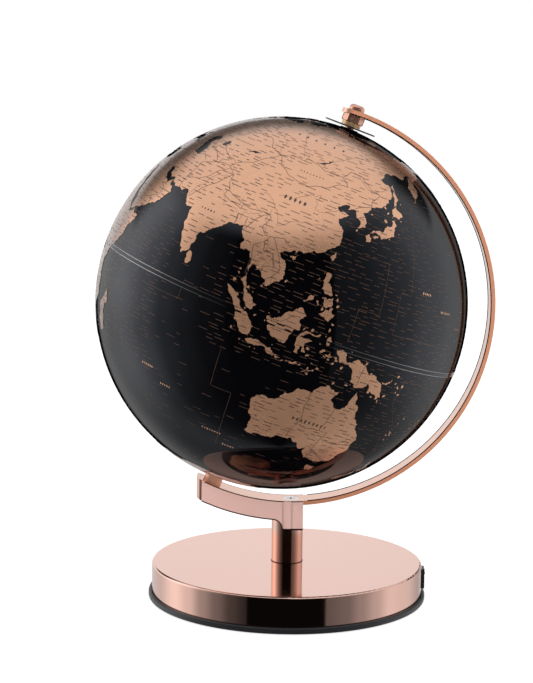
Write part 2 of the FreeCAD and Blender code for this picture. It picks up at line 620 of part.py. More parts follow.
def stem_arm():
    """One casting: round stem, curved arm with a recess for the meridian, and the cable's way."""
    plan = block(
        "arm_plan", "arm_left_x", "0", "base_height", "stem_radius - arm_left_x", "arm_width", "arm_outer")
    document.recompute()
    upright = [
        i for i, e in enumerate(plan.Shape.Edges, start=1)
        if e.BoundBox.XMax - size("arm_left_x") < 1e-3 and e.BoundBox.ZLength > 1
    ]
    rounded_plan = document.addObject("Part::Fillet", "arm_plan_rounded")
    rounded_plan.Base = plan
    rounded_plan.Edges = [(i, size("arm_corner"), size("arm_corner")) for i in upright]
    band = cut(
        "arm_band", disc_across("arm_disc", "arm_outer", "arm_width"), disc_across("arm_hollow", "arc_inner", "far_out"))
    arm = common("arm", rounded_plan, band)
    post = cut(
        "stem_post", cylinder("stem", "stem_radius", "stem_height + 2 * arm_floor", z="base_height"),
        disc_across("stem_top_trim", "arc_inner", "3 * stem_radius"))
    web = block(
        "gusset", "gusset_left_x", "0", "gusset_z", "stem_radius - gusset_left_x", "arm_width",
        "base_height + stem_height + arm_floor / 2 - gusset_z")
    hollow = add("Part::Cylinder", "gusset_hollow", Radius="arm_fillet", Height="2 * arm_width")
    place(hollow, "gusset_x", "arm_width", "gusset_z", Vector(1, 0, 0), "90")
    casting = joined("casting", arm, post, cut("gusset_cut", web, hollow))

    recess = half_meridian("recess", "arc_inner - 1", "arc_outer", "strip_width + 2 * seat_clearance")
    groove = common(
        "cable_groove",
        cut("groove_band", disc_across("groove_out", "arc_outer + groove_depth", "2 * channel_radius"),
            disc_across("groove_in", "arc_outer - 1", "3 * channel_radius")),
        block("groove_reach", "globe_x - low_groove * sin(axis_tilt)", "0", "base_height",
              "low_groove * sin(axis_tilt) - globe_x - channel_x", "arm_width", "arm_outer"),
    )
    slanted = add("Part::Cylinder", "slanted_channel", Radius="channel_radius", Height="channel_length")
    place(slanted, "0", "0", "channel_low_z", Vector(0, -1, 0), "channel_lean")
    knee = add("Part::Sphere", "channel_knee", Radius="channel_radius")
    place(knee, z="channel_low_z")
    turn = add("Part::Sphere", "channel_turn_in", Radius="channel_radius")
    place(turn, x="-channel_x", z="channel_top_z")
    cable_bore = cylinder("cable_bore", "channel_radius", "channel_low_z - base_height", z="base_height")
    thread = cylinder("stem_thread", "nipple_radius + thread_play", "nipple_grip + 0.5", z="base_height - 0.5")
    axle_hole = pin_on_axis("axle_hole", "axle_radius + thread_play", "-low_inner - axle_grip", "-low_inner")
    screw_hole = cylinder(
        "arc_screw_hole", "arc_screw_shank + thread_play", "arc_screw_length", x="arc_screw_x",
        z="arc_screw_z - arc_screw_length")
    keep("stem_arm", cut(
        "casting_cut", casting, recess, groove, slanted, knee, turn, cable_bore, thread, axle_hole, screw_hole))


def meridian():
    """Flat bar rolled to the meridian's radius, drilled at both poles and over the stem."""
    bar = half_meridian("bar", "arc_inner", "arc_outer", "strip_width")
    top_hole = pin_on_axis("bar_top_hole", "pin_shank + thread_play", "0", "top_outer + 5")
    low_hole = pin_on_axis("bar_low_hole", "axle_radius + thread_play", "-top_outer - 5", "0")
    sink = add("Part::Cone", "bar_sink", Radius1="arc_screw_shank + thread_play",
               Radius2="arc_screw_head + thread_play", Height="strip_thickness")
    place(sink, x="arc_screw_x", z="arc_screw_z - strip_thickness")
    over = cylinder("bar_sink_mouth", "arc_screw_head + thread_play", "2", x="arc_screw_x", z="arc_screw_z")
    through = cylinder("bar_screw_hole", "arc_screw_shank + thread_play", "strip_thickness + 2",
                       x="arc_screw_x", z="arc_screw_z - strip_thickness - 2")
    keep("meridian_arc", cut("bar_cut", bar, top_hole, low_hole, sink, over, through))

    cone = add("Part::Cone", "arc_screw_cone", Radius1="arc_screw_shank", Radius2="arc_screw_head",
               Height="strip_thickness")
    place(cone, x="arc_screw_x", z="arc_screw_z - strip_thickness")
    shank = cylinder(
        "arc_screw_shaft", "arc_screw_shank", "arc_screw_length - strip_thickness - 0.5",
        x="arc_screw_x", z="arc_screw_z - arc_screw_length + 0.5")
    slot = block("arc_screw_slot", "arc_screw_x - 2.6", "0", "arc_screw_z - 1.7", "5.2", "0.9", "2")
    cross = block("arc_screw_cross", "arc_screw_x - 0.45", "0", "arc_screw_z - 1.7", "0.9", "5.2", "2")
    keep("arc_screw", cut("arc_screw_cut", joined("arc_screw_blank", cone, shank), slot, cross))


# ---------------------------------------------------------------- pivots


def upper_pivot():
    """Domed pin through the meridian, hexagonal collar, spacer and the clip inside the ball."""
    inside = disc_across("inside_meridian", "arc_inner", "far_out")
    hexagon = on_axis(add("Part::Prism", "hexagon", Circumradius="hex_corner", Height="arc_gap"), "spacer_top")
    collar = cut("hex_bored", hexagon, pin_on_axis("hex_bore", "pin_shank + thread_play", "0", "far_out"))
    keep("upper_collar", common("hex_collar", collar, inside))
    keep("upper_spacer", on_axis(ring(
        "spacer", "pin_shank + thread_play", "spacer_radius", "spacer_low", "spacer_top")))
    head = turned("cap_head", [
        ("0", "top_outer - 2"),
        ("cap_radius", "top_outer - 2"),
        ("cap_radius", "top_outer + cap_height"),
        ("0", "top_outer + cap_height"),
    ])
    rounded(head, "cap_dome", "cap_round", rim(size("cap_radius"), size("top_outer") + size("cap_height")))
    seat = cut("cap_seat", on_axis(head), disc_across("outside_meridian", "arc_outer", "strip_width"))
    pin = pin_on_axis("pivot_pin", "pin_shank", "pin_low", "top_outer + 1")
    keep("upper_pivot", joined("pivot", seat, pin))
    clip_top = "bush_inner_end - thrust_gap"
    keep("upper_clip", on_axis(ring(
        "clip", "pin_shank + 0.02", "clip_radius", clip_top + " - clip_thickness", clip_top)))


def lower_pivot():
    """Hollow axle screwed into the arm, and the collar that the ball runs on."""
    axle = on_axis(turned("axle_tube", [
        ("axle_bore", "-low_inner - axle_grip + 1.5"),
        ("axle_bore", "-board_low"),
        ("axle_radius", "-board_low"),
        ("axle_radius", "-low_inner - axle_grip"),
        ("0", "-low_inner - axle_grip"),
        ("0", "-low_inner - axle_grip + 1.5"),
    ]))
    slot = block(
        "axle_slot", "globe_x - low_groove * sin(axis_tilt)", "0", "globe_z - low_groove * cos(axis_tilt) - 2.6",
        "2 * axle_radius", "2 * channel_radius - 0.4", "5.2")
    keep("lower_axle", cut("axle_cut", axle, slot))
    blank = pin_on_axis("collar_blank", "lower_collar_radius", "-low_inner - 3", "-collar_low")
    bored = cut("collar_bored", blank, pin_on_axis("collar_bore", "axle_radius + thread_play", "-far_out", "0"))
    keep("lower_collar", common("collar", bored, disc_across("above_strip", "arc_inner", "2 * arm_width")))


# ---------------------------------------------------------------- the ball


def ball():
    """Two moulded half balls on a joint ring, with a pole bush each and a tape over the seam."""
    for side, sign in (("north", 1), ("south", -1)):
        hollow = cut(
            side + "_hollow", on_axis(add("Part::Sphere", side + "_outside", Radius="globe_radius")),
            on_axis(add("Part::Sphere", side + "_inside", Radius="globe_radius - globe_wall")))
        low = "-far_out" if sign > 0 else "0"
        high = "0" if sign > 0 else "far_out"
        other_half = pin_on_axis(side + "_other_half", "far_out", low, high)
        low, high = ("0", "far_out") if sign > 0 else ("-far_out", "0")
        hole = pin_on_axis(side + "_hole", "pole_hole", low, high)
        keep(side + "_shell", cut(side + "_cut", hollow, other_half, hole))
        bore = "pin_shank" if sign > 0 else "axle_radius"
        tip, back, flange = (
            f"{sign} * bush_end", f"{sign} * bush_inner_end", f"{sign} * bush_seat")
        keep(side + "_bush", on_axis(turned(side + "_bushing", [
            (bore + " + thread_play", tip),
            ("pole_hole - thread_play", tip),
            ("pole_hole - thread_play", flange),
            ("bush_flange", flange),
            ("bush_flange", back),
            (bore + " + thread_play", back),
        ])))
    inner = "globe_radius - globe_wall"
    half = "joint_ring_height / 2"
    keep("equator_ring", on_axis(ring(
        "joint_ring", f"sqrt(({inner}) ^ 2 - ({half}) ^ 2) - joint_ring_wall - thread_play",
        f"sqrt(({inner}) ^ 2 - ({half}) ^ 2) - thread_play", f"-{half}", half)))
    keep("equator_tape", on_axis(ring(
        "tape", "globe_radius + 0.01", "globe_radius + tape_thickness", "-tape_width / 2", "tape_width / 2")))


def hour_dial():
    """Thin printed disc that turns on the upper pin."""
    keep("hour_dial", on_axis(ring("dial", "pin_shank + 2 * thread_play", "dial_radius", "dial_low", "dial_top")))


# ---------------------------------------------------------------- lamp and cables


def lamp():
    """Round board on the hollow axle's end, six lamps and a frosted cap, all inside the ball."""
    keep("led_board", on_axis(ring(
        "board", "cable_radius + thread_play", "board_radius", "-board_low", "-board_top")))
    chips = []
    for i in range(6):
        turn = 60 * i
        chip = add("Part::Box", f"chip_{i}", Length="3.5", Width="2.8", Height="1")
        across = f"(chip_circle * cos({turn}) - 1.75)"
        along = "(-board_top)"
        place(
            chip, f"globe_x + {along} * sin(axis_tilt) + {across} * cos(axis_tilt)",
            f"chip_circle * sin({turn}) - 1.4",
            f"globe_z + {along} * cos(axis_tilt) - {across} * sin(axis_tilt)", Vector(0, 1, 0), "axis_tilt")
        chips.append(chip)
    keep("led_chips", group("chips", chips))
    wide = "board_radius - 1"
    keep("led_diffuser", on_axis(turned("diffuser", [
        (wide + " - diffuser_wall", "-board_top"),
        (wide, "-board_top"),
        (wide, "-board_top + diffuser_height"),
        ("0", "-board_top + diffuser_height"),
        ("0", "-board_top + diffuser_height - diffuser_wall"),
        (wide + " - diffuser_wall", "-board_top + diffuser_height - diffuser_wall"),
    ])))


def tube(points, radius, bend):
    """A round cable through the points: straight runs joined by arcs tangent to them."""
    edges, start = [], points[0]
    for before, corner, after in zip(points, points[1:], points[2:]):
        into, out = (corner - before).normalize(), (after - corner).normalize()
        turn = into.getAngle(out)
        if turn < 1e-4:
            continue
        room = 0.45 * min((corner - before).Length, (after - corner).Length)
        back = min(bend * math.tan(turn / 2), room)
        first, last = corner - into * back, corner + out * back
        centre_way = (out - into).normalize()
        arc_radius = back / math.tan(turn / 2)
        middle = corner + centre_way * (arc_radius / math.cos(turn / 2) - arc_radius)
        edges += [Part.LineSegment(start, first).toShape(), Part.Arc(first, middle, last).toShape()]
        start = last
    edges.append(Part.LineSegment(start, points[-1]).toShape())
    path = Part.Wire(edges)
    section = Part.Wire(Part.Circle(points[0], points[1] - points[0], radius).toShape())
    solid = path.makePipeShell([section], True, False)
    expected = math.pi * radius**2 * path.Length
    if abs(solid.Volume - expected) > 0.01 * expected:
        raise ValueError("cable tube has the wrong volume")
    return solid


def cables():
    """Lamp cable from the battery box up through stem, arm and axle; switch cable in the base."""
    tilt = math.radians(size("axis_tilt"))
    along = Vector(math.sin(tilt), 0, math.cos(tilt))
    ball_centre = Vector(size("globe_x"), 0, size("globe_z"))
    turn_in = ball_centre - along * size("low_groove")
    arc_centre = Vector(size("arc_centre_x"), 0, size("arc_z"))
    turn_down = Vector(-size("channel_x"), 0, size("channel_top_z"))
    first = math.atan2(turn_in.x - arc_centre.x, arc_centre.z - turn_in.z)
    last = math.atan2(turn_down.x - arc_centre.x, arc_centre.z - turn_down.z)
    route = [ball_centre - along * size("board_top")]
    for step in range(4):
        angle = first + (last - first) * step / 3
        route.append(arc_centre + Vector(math.sin(angle), 0, -math.cos(angle)) * size("groove_radius"))
    low = size("cable_height")
    route += [Vector(0, 0, size("channel_low_z")), Vector(0, 0, low)]
    box_front = size("box_y") - size("box_half_y") - size("box_wall")
    route.append(Vector(0, box_front, low))
    lamp_cable = document.addObject("Part::Feature", "lamp_cable")
    lamp_cable.Shape = tube(route, size("cable_radius"), 3 * size("cable_radius"))
    keep("led_cable", lamp_cable)

    box_side = size("box_half_x") + size("box_wall")
    switch_back = size("cover_radius") - size("switch_depth")
    beside = box_front + 5
    span = switch_back - box_side
    points = [
        Vector(box_side, beside, low),
        Vector(box_side + 0.33 * span, beside, low),
        Vector(box_side + 0.72 * span, 0, low + 2),
        Vector(switch_back, 0, low + 2),
    ]
    switch_cable = document.addObject("Part::Feature", "switch_lead")
    switch_cable.Shape = tube(points, size("cable_radius"), 5 * size("cable_radius"))
    keep("switch_cable", switch_cable)


# ---------------------------------------------------------------- build, check and write


def check():
    """Stops on a failed object, and on a sub-part whose shape is empty or not valid."""
    for made in document.Objects:
        if "Invalid" in made.State or "Error" in made.State:
            raise ValueError(f"{made.Name} failed: {made.State}")
    for made in nodes:
        if made.Shape.isNull() or not made.Shape.Solids or not made.Shape.isValid():
            raise ValueError(f"{made.Label} has no valid shape")


base_cover()
base_tray()
feet_and_plug()
ballast_and_screws()
battery()
switch()
stem_fixing()
stem_arm()
meridian()
upper_pivot()
lower_pivot()
ball()
hour_dial()
lamp()
cables()
document.recompute()
check()
os.makedirs("parts", exist_ok=True)
for made in nodes:
    made.Shape.exportStep(f"parts/{made.Label}.step")
    print(f"{made.Label}: {len(made.Shape.Solids)} solids, {made.Shape.Volume / 1000:.2f} cm3")
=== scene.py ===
import json
import math
import random

import bmesh
import bpy
import numpy as np
from mathutils import Euler, Matrix, Vector
from mathutils.geometry import delaunay_2d_cdt


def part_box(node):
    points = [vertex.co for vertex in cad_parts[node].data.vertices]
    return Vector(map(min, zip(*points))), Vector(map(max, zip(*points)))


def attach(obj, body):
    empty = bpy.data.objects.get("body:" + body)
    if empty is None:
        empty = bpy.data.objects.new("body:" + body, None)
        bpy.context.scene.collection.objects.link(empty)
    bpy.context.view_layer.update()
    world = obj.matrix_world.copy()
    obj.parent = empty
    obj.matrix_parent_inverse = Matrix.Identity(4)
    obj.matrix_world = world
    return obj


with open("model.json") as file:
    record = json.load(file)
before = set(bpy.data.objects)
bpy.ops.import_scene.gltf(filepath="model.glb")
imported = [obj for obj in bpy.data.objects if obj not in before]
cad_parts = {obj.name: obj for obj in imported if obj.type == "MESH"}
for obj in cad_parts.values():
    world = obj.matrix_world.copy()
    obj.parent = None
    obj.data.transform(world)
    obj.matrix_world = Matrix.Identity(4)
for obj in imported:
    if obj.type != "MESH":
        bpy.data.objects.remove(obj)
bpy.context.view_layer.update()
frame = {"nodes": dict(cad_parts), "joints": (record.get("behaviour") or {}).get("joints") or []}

MM = 0.001
scene = bpy.context.scene

# ---------------------------------------------------------------- the view
# The globe stands on a table at eye level for someone sitting back from it:
# about 1.15 m away, a little above the middle, with a 90 mm lens.
camera_data = bpy.data.cameras.new("view_camera")
camera_data.lens = 89.96
camera_data.sensor_width = 36
camera = bpy.data.objects.new("view_camera", camera_data)
scene.collection.objects.link(camera)
scene.camera = camera
yaw, pitch, roll = (math.radians(v) for v in (-0.788, 7.654, 0.685))
looking = Vector((math.sin(yaw) * math.cos(pitch), math.cos(yaw) * math.cos(pitch), -math.sin(pitch)))
level = Vector((math.cos(yaw), -math.sin(yaw), 0))
over = level.cross(looking)
right = level * math.cos(roll) + over * math.sin(roll)
up = over * math.cos(roll) - level * math.sin(roll)
sits_back, eye_height = 1.1452, 0.3297
camera.matrix_world = Matrix((
    (right.x, up.x, -looking.x, 0.0),
    (right.y, up.y, -looking.y, -sits_back),
    (right.z, up.z, -looking.z, eye_height),
    (0, 0, 0, 1)))

# -------------------------------------------------------- floor and studio
# A plain white table and a white room with a tall soft light on each side.
# The room is open and dark behind the viewer, between the two lights.
floor_mesh = bpy.data.meshes.new("floor")
floor_bm = bmesh.new()
bmesh.ops.create_circle(floor_bm, cap_ends=True, segments=96, radius=6.0)
floor_bm.to_mesh(floor_mesh)
floor_bm.free()
floor = bpy.data.objects.new("floor", floor_mesh)
scene.collection.objects.link(floor)
floor.visible_glossy = False
floor_paint = bpy.data.materials.new("white_table")
floor_paint.use_nodes = True
floor_shader = floor_paint.node_tree.nodes["Principled BSDF"]
floor_shader.inputs["Base Color"].default_value = (0.86, 0.86, 0.865, 1)
floor_shader.inputs["Roughness"].default_value = 0.8
floor_shader.inputs["Specular IOR Level"].default_value = 0.0
floor_shader.inputs["Emission Color"].default_value = (1, 1, 1, 1)
floor_shader.inputs["Emission Strength"].default_value = 0.62
floor_mesh.materials.append(floor_paint)

room = bpy.data.worlds.new("studio")
scene.world = room
room.use_nodes = True
rt = room.node_tree
rt.nodes.clear()


def sum_node(tree, operation, a, b=None, c=None):
    """One Math node; each value is a number or another node's socket."""
    node = tree.nodes.new("ShaderNodeMath")
    node.operation = operation
    for place, value in enumerate((a, b, c)):
        if value is None:
            continue
        if isinstance(value, (int, float)):
            node.inputs[place].default_value = value
        else:
            tree.links.new(value, node.inputs[place])
    return node.outputs[0]


def ramp_between(tree, value, low, high, out_low=0.0, out_high=1.0):
    """A smooth step from out_low to out_high as value goes from low to high."""
    node = tree.nodes.new("ShaderNodeMapRange")
    node.interpolation_type = "SMOOTHSTEP"
    tree.links.new(value, node.inputs["Value"])
    for name, number in (("From Min", low), ("From Max", high), ("To Min", out_low), ("To Max", out_high)):
        node.inputs[name].default_value = number
    return node.outputs[0]


def split_of(tree, kind, output):
    """The X, Y and Z of that coordinate of that kind of input node."""
    split = tree.nodes.new("ShaderNodeSeparateXYZ")
    tree.links.new(tree.nodes.new("ShaderNode" + kind).outputs[output], split.inputs[0])
    return split.outputs


one_radian = 57.29578
sideways, ahead, upwards = split_of(rt, "TexCoord", "Generated")
front = sum_node(rt, "MULTIPLY", ahead, -1.0)
round_the_room = sum_node(rt, "MULTIPLY", sum_node(rt, "ARCTAN2", sideways, front), one_radian)
height_in_room = sum_node(rt, "MULTIPLY", sum_node(rt, "ARCSINE", upwards), one_radian)
away = sum_node(rt, "ABSOLUTE", round_the_room)


def wall_brightness(stops):
    """Brightness along one side wall: (degrees from the viewer, brightness) in order."""
    ramp = rt.nodes.new("ShaderNodeValToRGB")
    ramp.color_ramp.interpolation = "EASE"
    marks = ramp.color_ramp.elements
    while len(marks) < len(stops):
        marks.new(0.5)
    for mark, (degrees, bright) in zip(marks, stops):
        mark.position = degrees / 180
        mark.color = (bright / 2, bright / 2, bright / 2, 1)
    rt.links.new(sum_node(rt, "DIVIDE", away, 180.0), ramp.inputs[0])
    return sum_node(rt, "MULTIPLY", ramp.outputs[0], 2.0)


left_wall = wall_brightness([(32, 0.0), (34, 0.04), (47, 0.09), (61, 0.25), (75, 0.50),
                             (91, 1.1), (108, 1.45), (136, 0.92), (180, 0.92)])
right_wall = wall_brightness([(32, 0.0), (34, 0.13), (52, 0.18), (66, 0.33), (81, 0.54),
                              (98, 0.84), (119, 0.76), (150, 0.46), (180, 0.92)])
right_side = ramp_between(rt, round_the_room, -4.0, 4.0)
left_wall = sum_node(rt, "MULTIPLY", left_wall, ramp_between(rt, height_in_room, -14.0, 4.0, 0.72, 1.0))
walls = sum_node(rt, "MULTIPLY_ADD", right_side, sum_node(rt, "SUBTRACT", right_wall, left_wall), left_wall)
walls = sum_node(rt, "MULTIPLY", walls, ramp_between(rt, height_in_room, -52.0, -18.0, 0.30, 1.0))
# the wall behind stops at the top of the white sweep, under the big top light
sweep_top = ramp_between(rt, height_in_room, 17.0, 21.0)
is_behind = ramp_between(rt, away, 118.0, 140.0)
how_dark = 0.93
unlit = sum_node(rt, "MULTIPLY", sum_node(rt, "MULTIPLY", sweep_top, is_behind), how_dark)
walls = sum_node(rt, "MULTIPLY", walls, sum_node(rt, "SUBTRACT", 1.0, unlit))
light_edge = ramp_between(rt, away, 60.0, 170.0, 46.0, 35.0)
over_light = ramp_between(rt, sum_node(rt, "SUBTRACT", height_in_room, light_edge), -5.0, 6.0)
top_light, least_light = 0.78, 0.003
all_round = sum_node(rt, "MULTIPLY_ADD", over_light, sum_node(rt, "SUBTRACT", top_light, walls), walls)
seen_brightness = sum_node(rt, "ADD", all_round, least_light)
studio_light = rt.nodes.new("ShaderNodeBackground")
studio_light.inputs["Color"].default_value = (0.985, 0.99, 1.0, 1)
rt.links.new(seen_brightness, studio_light.inputs["Strength"])
plain_white = rt.nodes.new("ShaderNodeBackground")
plain_white.inputs["Color"].default_value = (1, 1, 1, 1)
plain_white.inputs["Strength"].default_value = 1.0
ray_kind = rt.nodes.new("ShaderNodeLightPath")
pick = rt.nodes.new("ShaderNodeMixShader")
rt.links.new(ray_kind.outputs["Is Camera Ray"], pick.inputs[0])
rt.links.new(studio_light.outputs[0], pick.inputs[1])
rt.links.new(plain_white.outputs[0], pick.inputs[2])
room_out = rt.nodes.new("ShaderNodeOutputWorld")
rt.links.new(pick.outputs[0], room_out.inputs[0])
front_data = bpy.data.lights.new("front_fill", "AREA")
front_data.size = 1.2
front_data.energy = 24.0
front_fill = bpy.data.objects.new("front_fill", front_data)
scene.collection.objects.link(front_fill)
fill_place, fill_turn = (0.1, -1.7, 0.75), (math.radians(72), 0, math.radians(3))
front_fill.matrix_world = Matrix.Translation(fill_place) @ Euler(fill_turn, "XYZ").to_matrix().to_4x4()
front_fill.visible_glossy = False
front_fill.visible_camera = False
scene.view_settings.view_transform = "Standard"
scene.view_settings.look = "None"

# ---------------------------------------------------- base tray and lid
# Injection-moulded black ABS tray that carries everything, and its snap-in
# battery lid with one screw. Both have the same fine spark-eroded grain.


def group_of(name, inputs, outputs):
    """An empty shader group with those named sockets, and its two end nodes."""
    group = bpy.data.node_groups.new(name, "ShaderNodeTree")
    for label, kind, value in inputs:
        socket = group.interface.new_socket(label, in_out="INPUT", socket_type=kind)
        socket.default_value = value
    for label, kind in outputs:
        group.interface.new_socket(label, in_out="OUTPUT", socket_type=kind)
    return group, group.nodes.new("NodeGroupInput"), group.nodes.new("NodeGroupOutput")


def noise_in(tree, scale, detail=3.0, stretch=None, rough=0.5):
    """Noise on the piece's own coordinates; stretch gives it a direction."""
    place = tree.nodes.new("ShaderNodeTexCoord").outputs["Object"]
    if stretch:
        turn = tree.nodes.new("ShaderNodeMapping")
        turn.inputs["Scale"].default_value = stretch
        tree.links.new(place, turn.inputs[0])
        place = turn.outputs[0]
    noise = tree.nodes.new("ShaderNodeTexNoise")
    noise.inputs["Detail"].default_value = detail
    noise.inputs["Roughness"].default_value = rough
    tree.links.new(place, noise.inputs["Vector"])
    if isinstance(scale, (int, float)):
        noise.inputs["Scale"].default_value = scale
    else:
        tree.links.new(scale, noise.inputs["Scale"])
    return noise.outputs[0]


def tinted(tree, colour, factor):
    """colour made lighter or darker by factor."""
    node = tree.nodes.new("ShaderNodeVectorMath")
    node.operation = "SCALE"
    tree.links.new(colour, node.inputs[0])
    tree.links.new(factor, node.inputs["Scale"])
    return node.outputs[0]


# moulded surface: tone and gloss vary slowly, and a fine grain stands up
grain_group, grain_in, grain_out = group_of(
    "moulded_grain",
    [("Tone", "NodeSocketColor", (0.02, 0.02, 0.02, 1)), ("Roughness", "NodeSocketFloat", 0.45),
     ("Grain Scale", "NodeSocketFloat", 2600.0), ("Cloud", "NodeSocketFloat", 0.25)],
    [("Tone", "NodeSocketColor"), ("Roughness", "NodeSocketFloat"), ("Height", "NodeSocketFloat")])
slow = noise_in(grain_group, 55.0, 4.0)
quick_grain = noise_in(grain_group, grain_in.outputs["Grain Scale"], 2.0)
swing = sum_node(grain_group, "SUBTRACT", slow, 0.5)
grain_group.links.new(
    tinted(grain_group, grain_in.outputs["Tone"],
           sum_node(grain_group, "MULTIPLY_ADD", swing, grain_in.outputs["Cloud"], 1.0)),
    grain_out.inputs["Tone"])
grain_group.links.new(
    sum_node(grain_group, "MULTIPLY_ADD", sum_node(grain_group, "ADD", swing, sum_node(grain_group, "SUBTRACT", quick_grain, 0.5)),
             sum_node(grain_group, "MULTIPLY", grain_in.outputs["Cloud"], 0.35), grain_in.outputs["Roughness"]),
    grain_out.inputs["Roughness"])
grain_group.links.new(quick_grain, grain_out.inputs["Height"])

# polished or plated surface: wiping haze, hairline scratches and fine waviness
polish_group, polish_in, polish_out = group_of(
    "polish_and_haze",
    [("Tone", "NodeSocketColor", (0.9, 0.56, 0.45, 1)), ("Roughness", "NodeSocketFloat", 0.1),
     ("Haze", "NodeSocketFloat", 0.1), ("Scratches", "NodeSocketFloat", 0.3), ("Waviness", "NodeSocketFloat", 0.3)],
    [("Tone", "NodeSocketColor"), ("Roughness", "NodeSocketFloat"), ("Height", "NodeSocketFloat")])
wiped = noise_in(polish_group, 42.0, 5.0, rough=0.6)
wiped_swing = sum_node(polish_group, "SUBTRACT", wiped, 0.5)
hairs_a = ramp_between(polish_group, noise_in(polish_group, 1.0, 2.0, (90.0, 3600.0, 1500.0)), 0.70, 0.76)
hairs_b = ramp_between(polish_group, noise_in(polish_group, 1.0, 2.0, (2900.0, 70.0, 1100.0)), 0.71, 0.77)
hairs = sum_node(polish_group, "MAXIMUM", hairs_a, hairs_b)
pits = ramp_between(polish_group, noise_in(polish_group, 1500.0, 1.0), 0.80, 0.86)
polish_group.links.new(
    tinted(polish_group, polish_in.outputs["Tone"],
           sum_node(polish_group, "MULTIPLY_ADD", wiped_swing, polish_in.outputs["Haze"], 1.0)),
    polish_out.inputs["Tone"])
hair_gloss = sum_node(polish_group, "MULTIPLY", sum_node(polish_group, "MULTIPLY", hairs, polish_in.outputs["Scratches"]), 0.18)
polish_group.links.new(
    sum_node(polish_group, "ADD", hair_gloss,
             sum_node(polish_group, "MULTIPLY_ADD", wiped_swing, polish_in.outputs["Haze"], polish_in.outputs["Roughness"])),
    polish_out.inputs["Roughness"])
ripple = sum_node(polish_group, "MULTIPLY", noise_in(polish_group, 240.0, 2.0), polish_in.outputs["Waviness"])
cut_in = sum_node(polish_group, "MULTIPLY", sum_node(polish_group, "MAXIMUM", hairs, pits),
                  sum_node(polish_group, "MULTIPLY", polish_in.outputs["Scratches"], -0.25))
polish_group.links.new(sum_node(polish_group, "ADD", ripple, cut_in), polish_out.inputs["Height"])


def finish(name, group, tone, roughness, metal=0.0, bump=0.1, bump_mm=0.05, coat=0.0, coat_rough=0.05,
           specular=0.5, **group_values):
    """A material whose tone, gloss and bump come from one of the shared groups."""
    paint = bpy.data.materials.new(name)
    paint.use_nodes = True
    tree = paint.node_tree
    shader = tree.nodes["Principled BSDF"]
    effect = tree.nodes.new("ShaderNodeGroup")
    effect.node_tree = group
    effect.inputs["Tone"].default_value = (*tone, 1)
    effect.inputs["Roughness"].default_value = roughness
    for label, value in group_values.items():
        effect.inputs[label.replace("_", " ")].default_value = value
    tree.links.new(effect.outputs["Tone"], shader.inputs["Base Color"])
    tree.links.new(effect.outputs["Roughness"], shader.inputs["Roughness"])
    raised = tree.nodes.new("ShaderNodeBump")
    raised.inputs["Strength"].default_value = bump
    raised.inputs["Distance"].default_value = bump_mm * MM
    tree.links.new(effect.outputs["Height"], raised.inputs["Height"])
    tree.links.new(raised.outputs[0], shader.inputs["Normal"])
    shader.inputs["Metallic"].default_value = metal
    shader.inputs["Specular IOR Level"].default_value = specular
    shader.inputs["Coat Weight"].default_value = coat
    shader.inputs["Coat Roughness"].default_value = coat_rough
    return paint


def painted(paint, *nodes):
    """Gives those CAD pieces that finish."""
    for name in nodes:
        piece = frame["nodes"][name]
        for place in piece.material_slots:
            place.material = paint


def effect_of(paint):
    """The shared group's node in that material."""
    return next(n for n in paint.node_tree.nodes if n.type == "GROUP")


def second_tone(paint, where, colour):
    """Lays another colour over that finish where the mask is 1."""
    tree = paint.node_tree
    both = tree.nodes.new("ShaderNodeMix")
    both.data_type = "RGBA"
    tree.links.new(where, both.inputs["Factor"])
    first, second = (s for s in both.inputs if s.type == "RGBA")
    tree.links.new(effect_of(paint).outputs["Tone"], first)
    second.default_value = (*colour, 1)
    mixed = next(s for s in both.outputs if s.type == "RGBA")
    tree.links.new(mixed, tree.nodes["Principled BSDF"].inputs["Base Color"])


tray_plastic = finish("black_tray_plastic", grain_group, (0.012, 0.0125, 0.015), 0.34, bump=0.35, bump_mm=0.04,
                      Grain_Scale=2300.0, Cloud=0.35)
painted(tray_plastic, "base_tray", "battery_cover")


def tree_with(name, inputs):
    """An empty Geometry Nodes tree with those named inputs after its geometry."""
    tree = bpy.data.node_groups.new(name, "GeometryNodeTree")
    tree.interface.new_socket("Geometry", in_out="INPUT", socket_type="NodeSocketGeometry")
    tree.interface.new_socket("Geometry", in_out="OUTPUT", socket_type="NodeSocketGeometry")
    for label, kind in inputs:
        tree.interface.new_socket(label, in_out="INPUT", socket_type=kind)
    return tree, tree.nodes.new("NodeGroupInput"), tree.nodes.new("NodeGroupOutput")


def ends_with(tree, geometry, start, end):
    """Realize Instances and Set Material, the last two nodes of every tree."""
    real = tree.nodes.new("GeometryNodeRealizeInstances")
    coat = tree.nodes.new("GeometryNodeSetMaterial")
    tree.links.new(geometry, real.inputs[0])
    tree.links.new(real.outputs[0], coat.inputs["Geometry"])
    tree.links.new(start.outputs["Finish"], coat.inputs["Material"])
    tree.links.new(coat.outputs[0], end.inputs[0])


def fed(tree, node, start, **sockets):
    """Links those sockets of the node to the tree's own inputs of those names."""
    for socket, label in sockets.items():
        tree.links.new(start.outputs[label], node.inputs[socket])


def made_solid(name, maker):
    """The maker's finished shape as a plain mesh. The maker is deleted."""
    scene.collection.objects.link(maker)
    bpy.context.view_layer.update()
    mesh = bpy.data.meshes.new_from_object(maker.evaluated_get(bpy.context.evaluated_depsgraph_get()))
    bpy.data.objects.remove(maker)
    mesh.name = name
    return mesh


def placed(name, mesh, body):
    """A piece of the visible model with that mesh, on that body."""
    piece = bpy.data.objects.new(name, mesh)
    scene.collection.objects.link(piece)
    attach(piece, body)


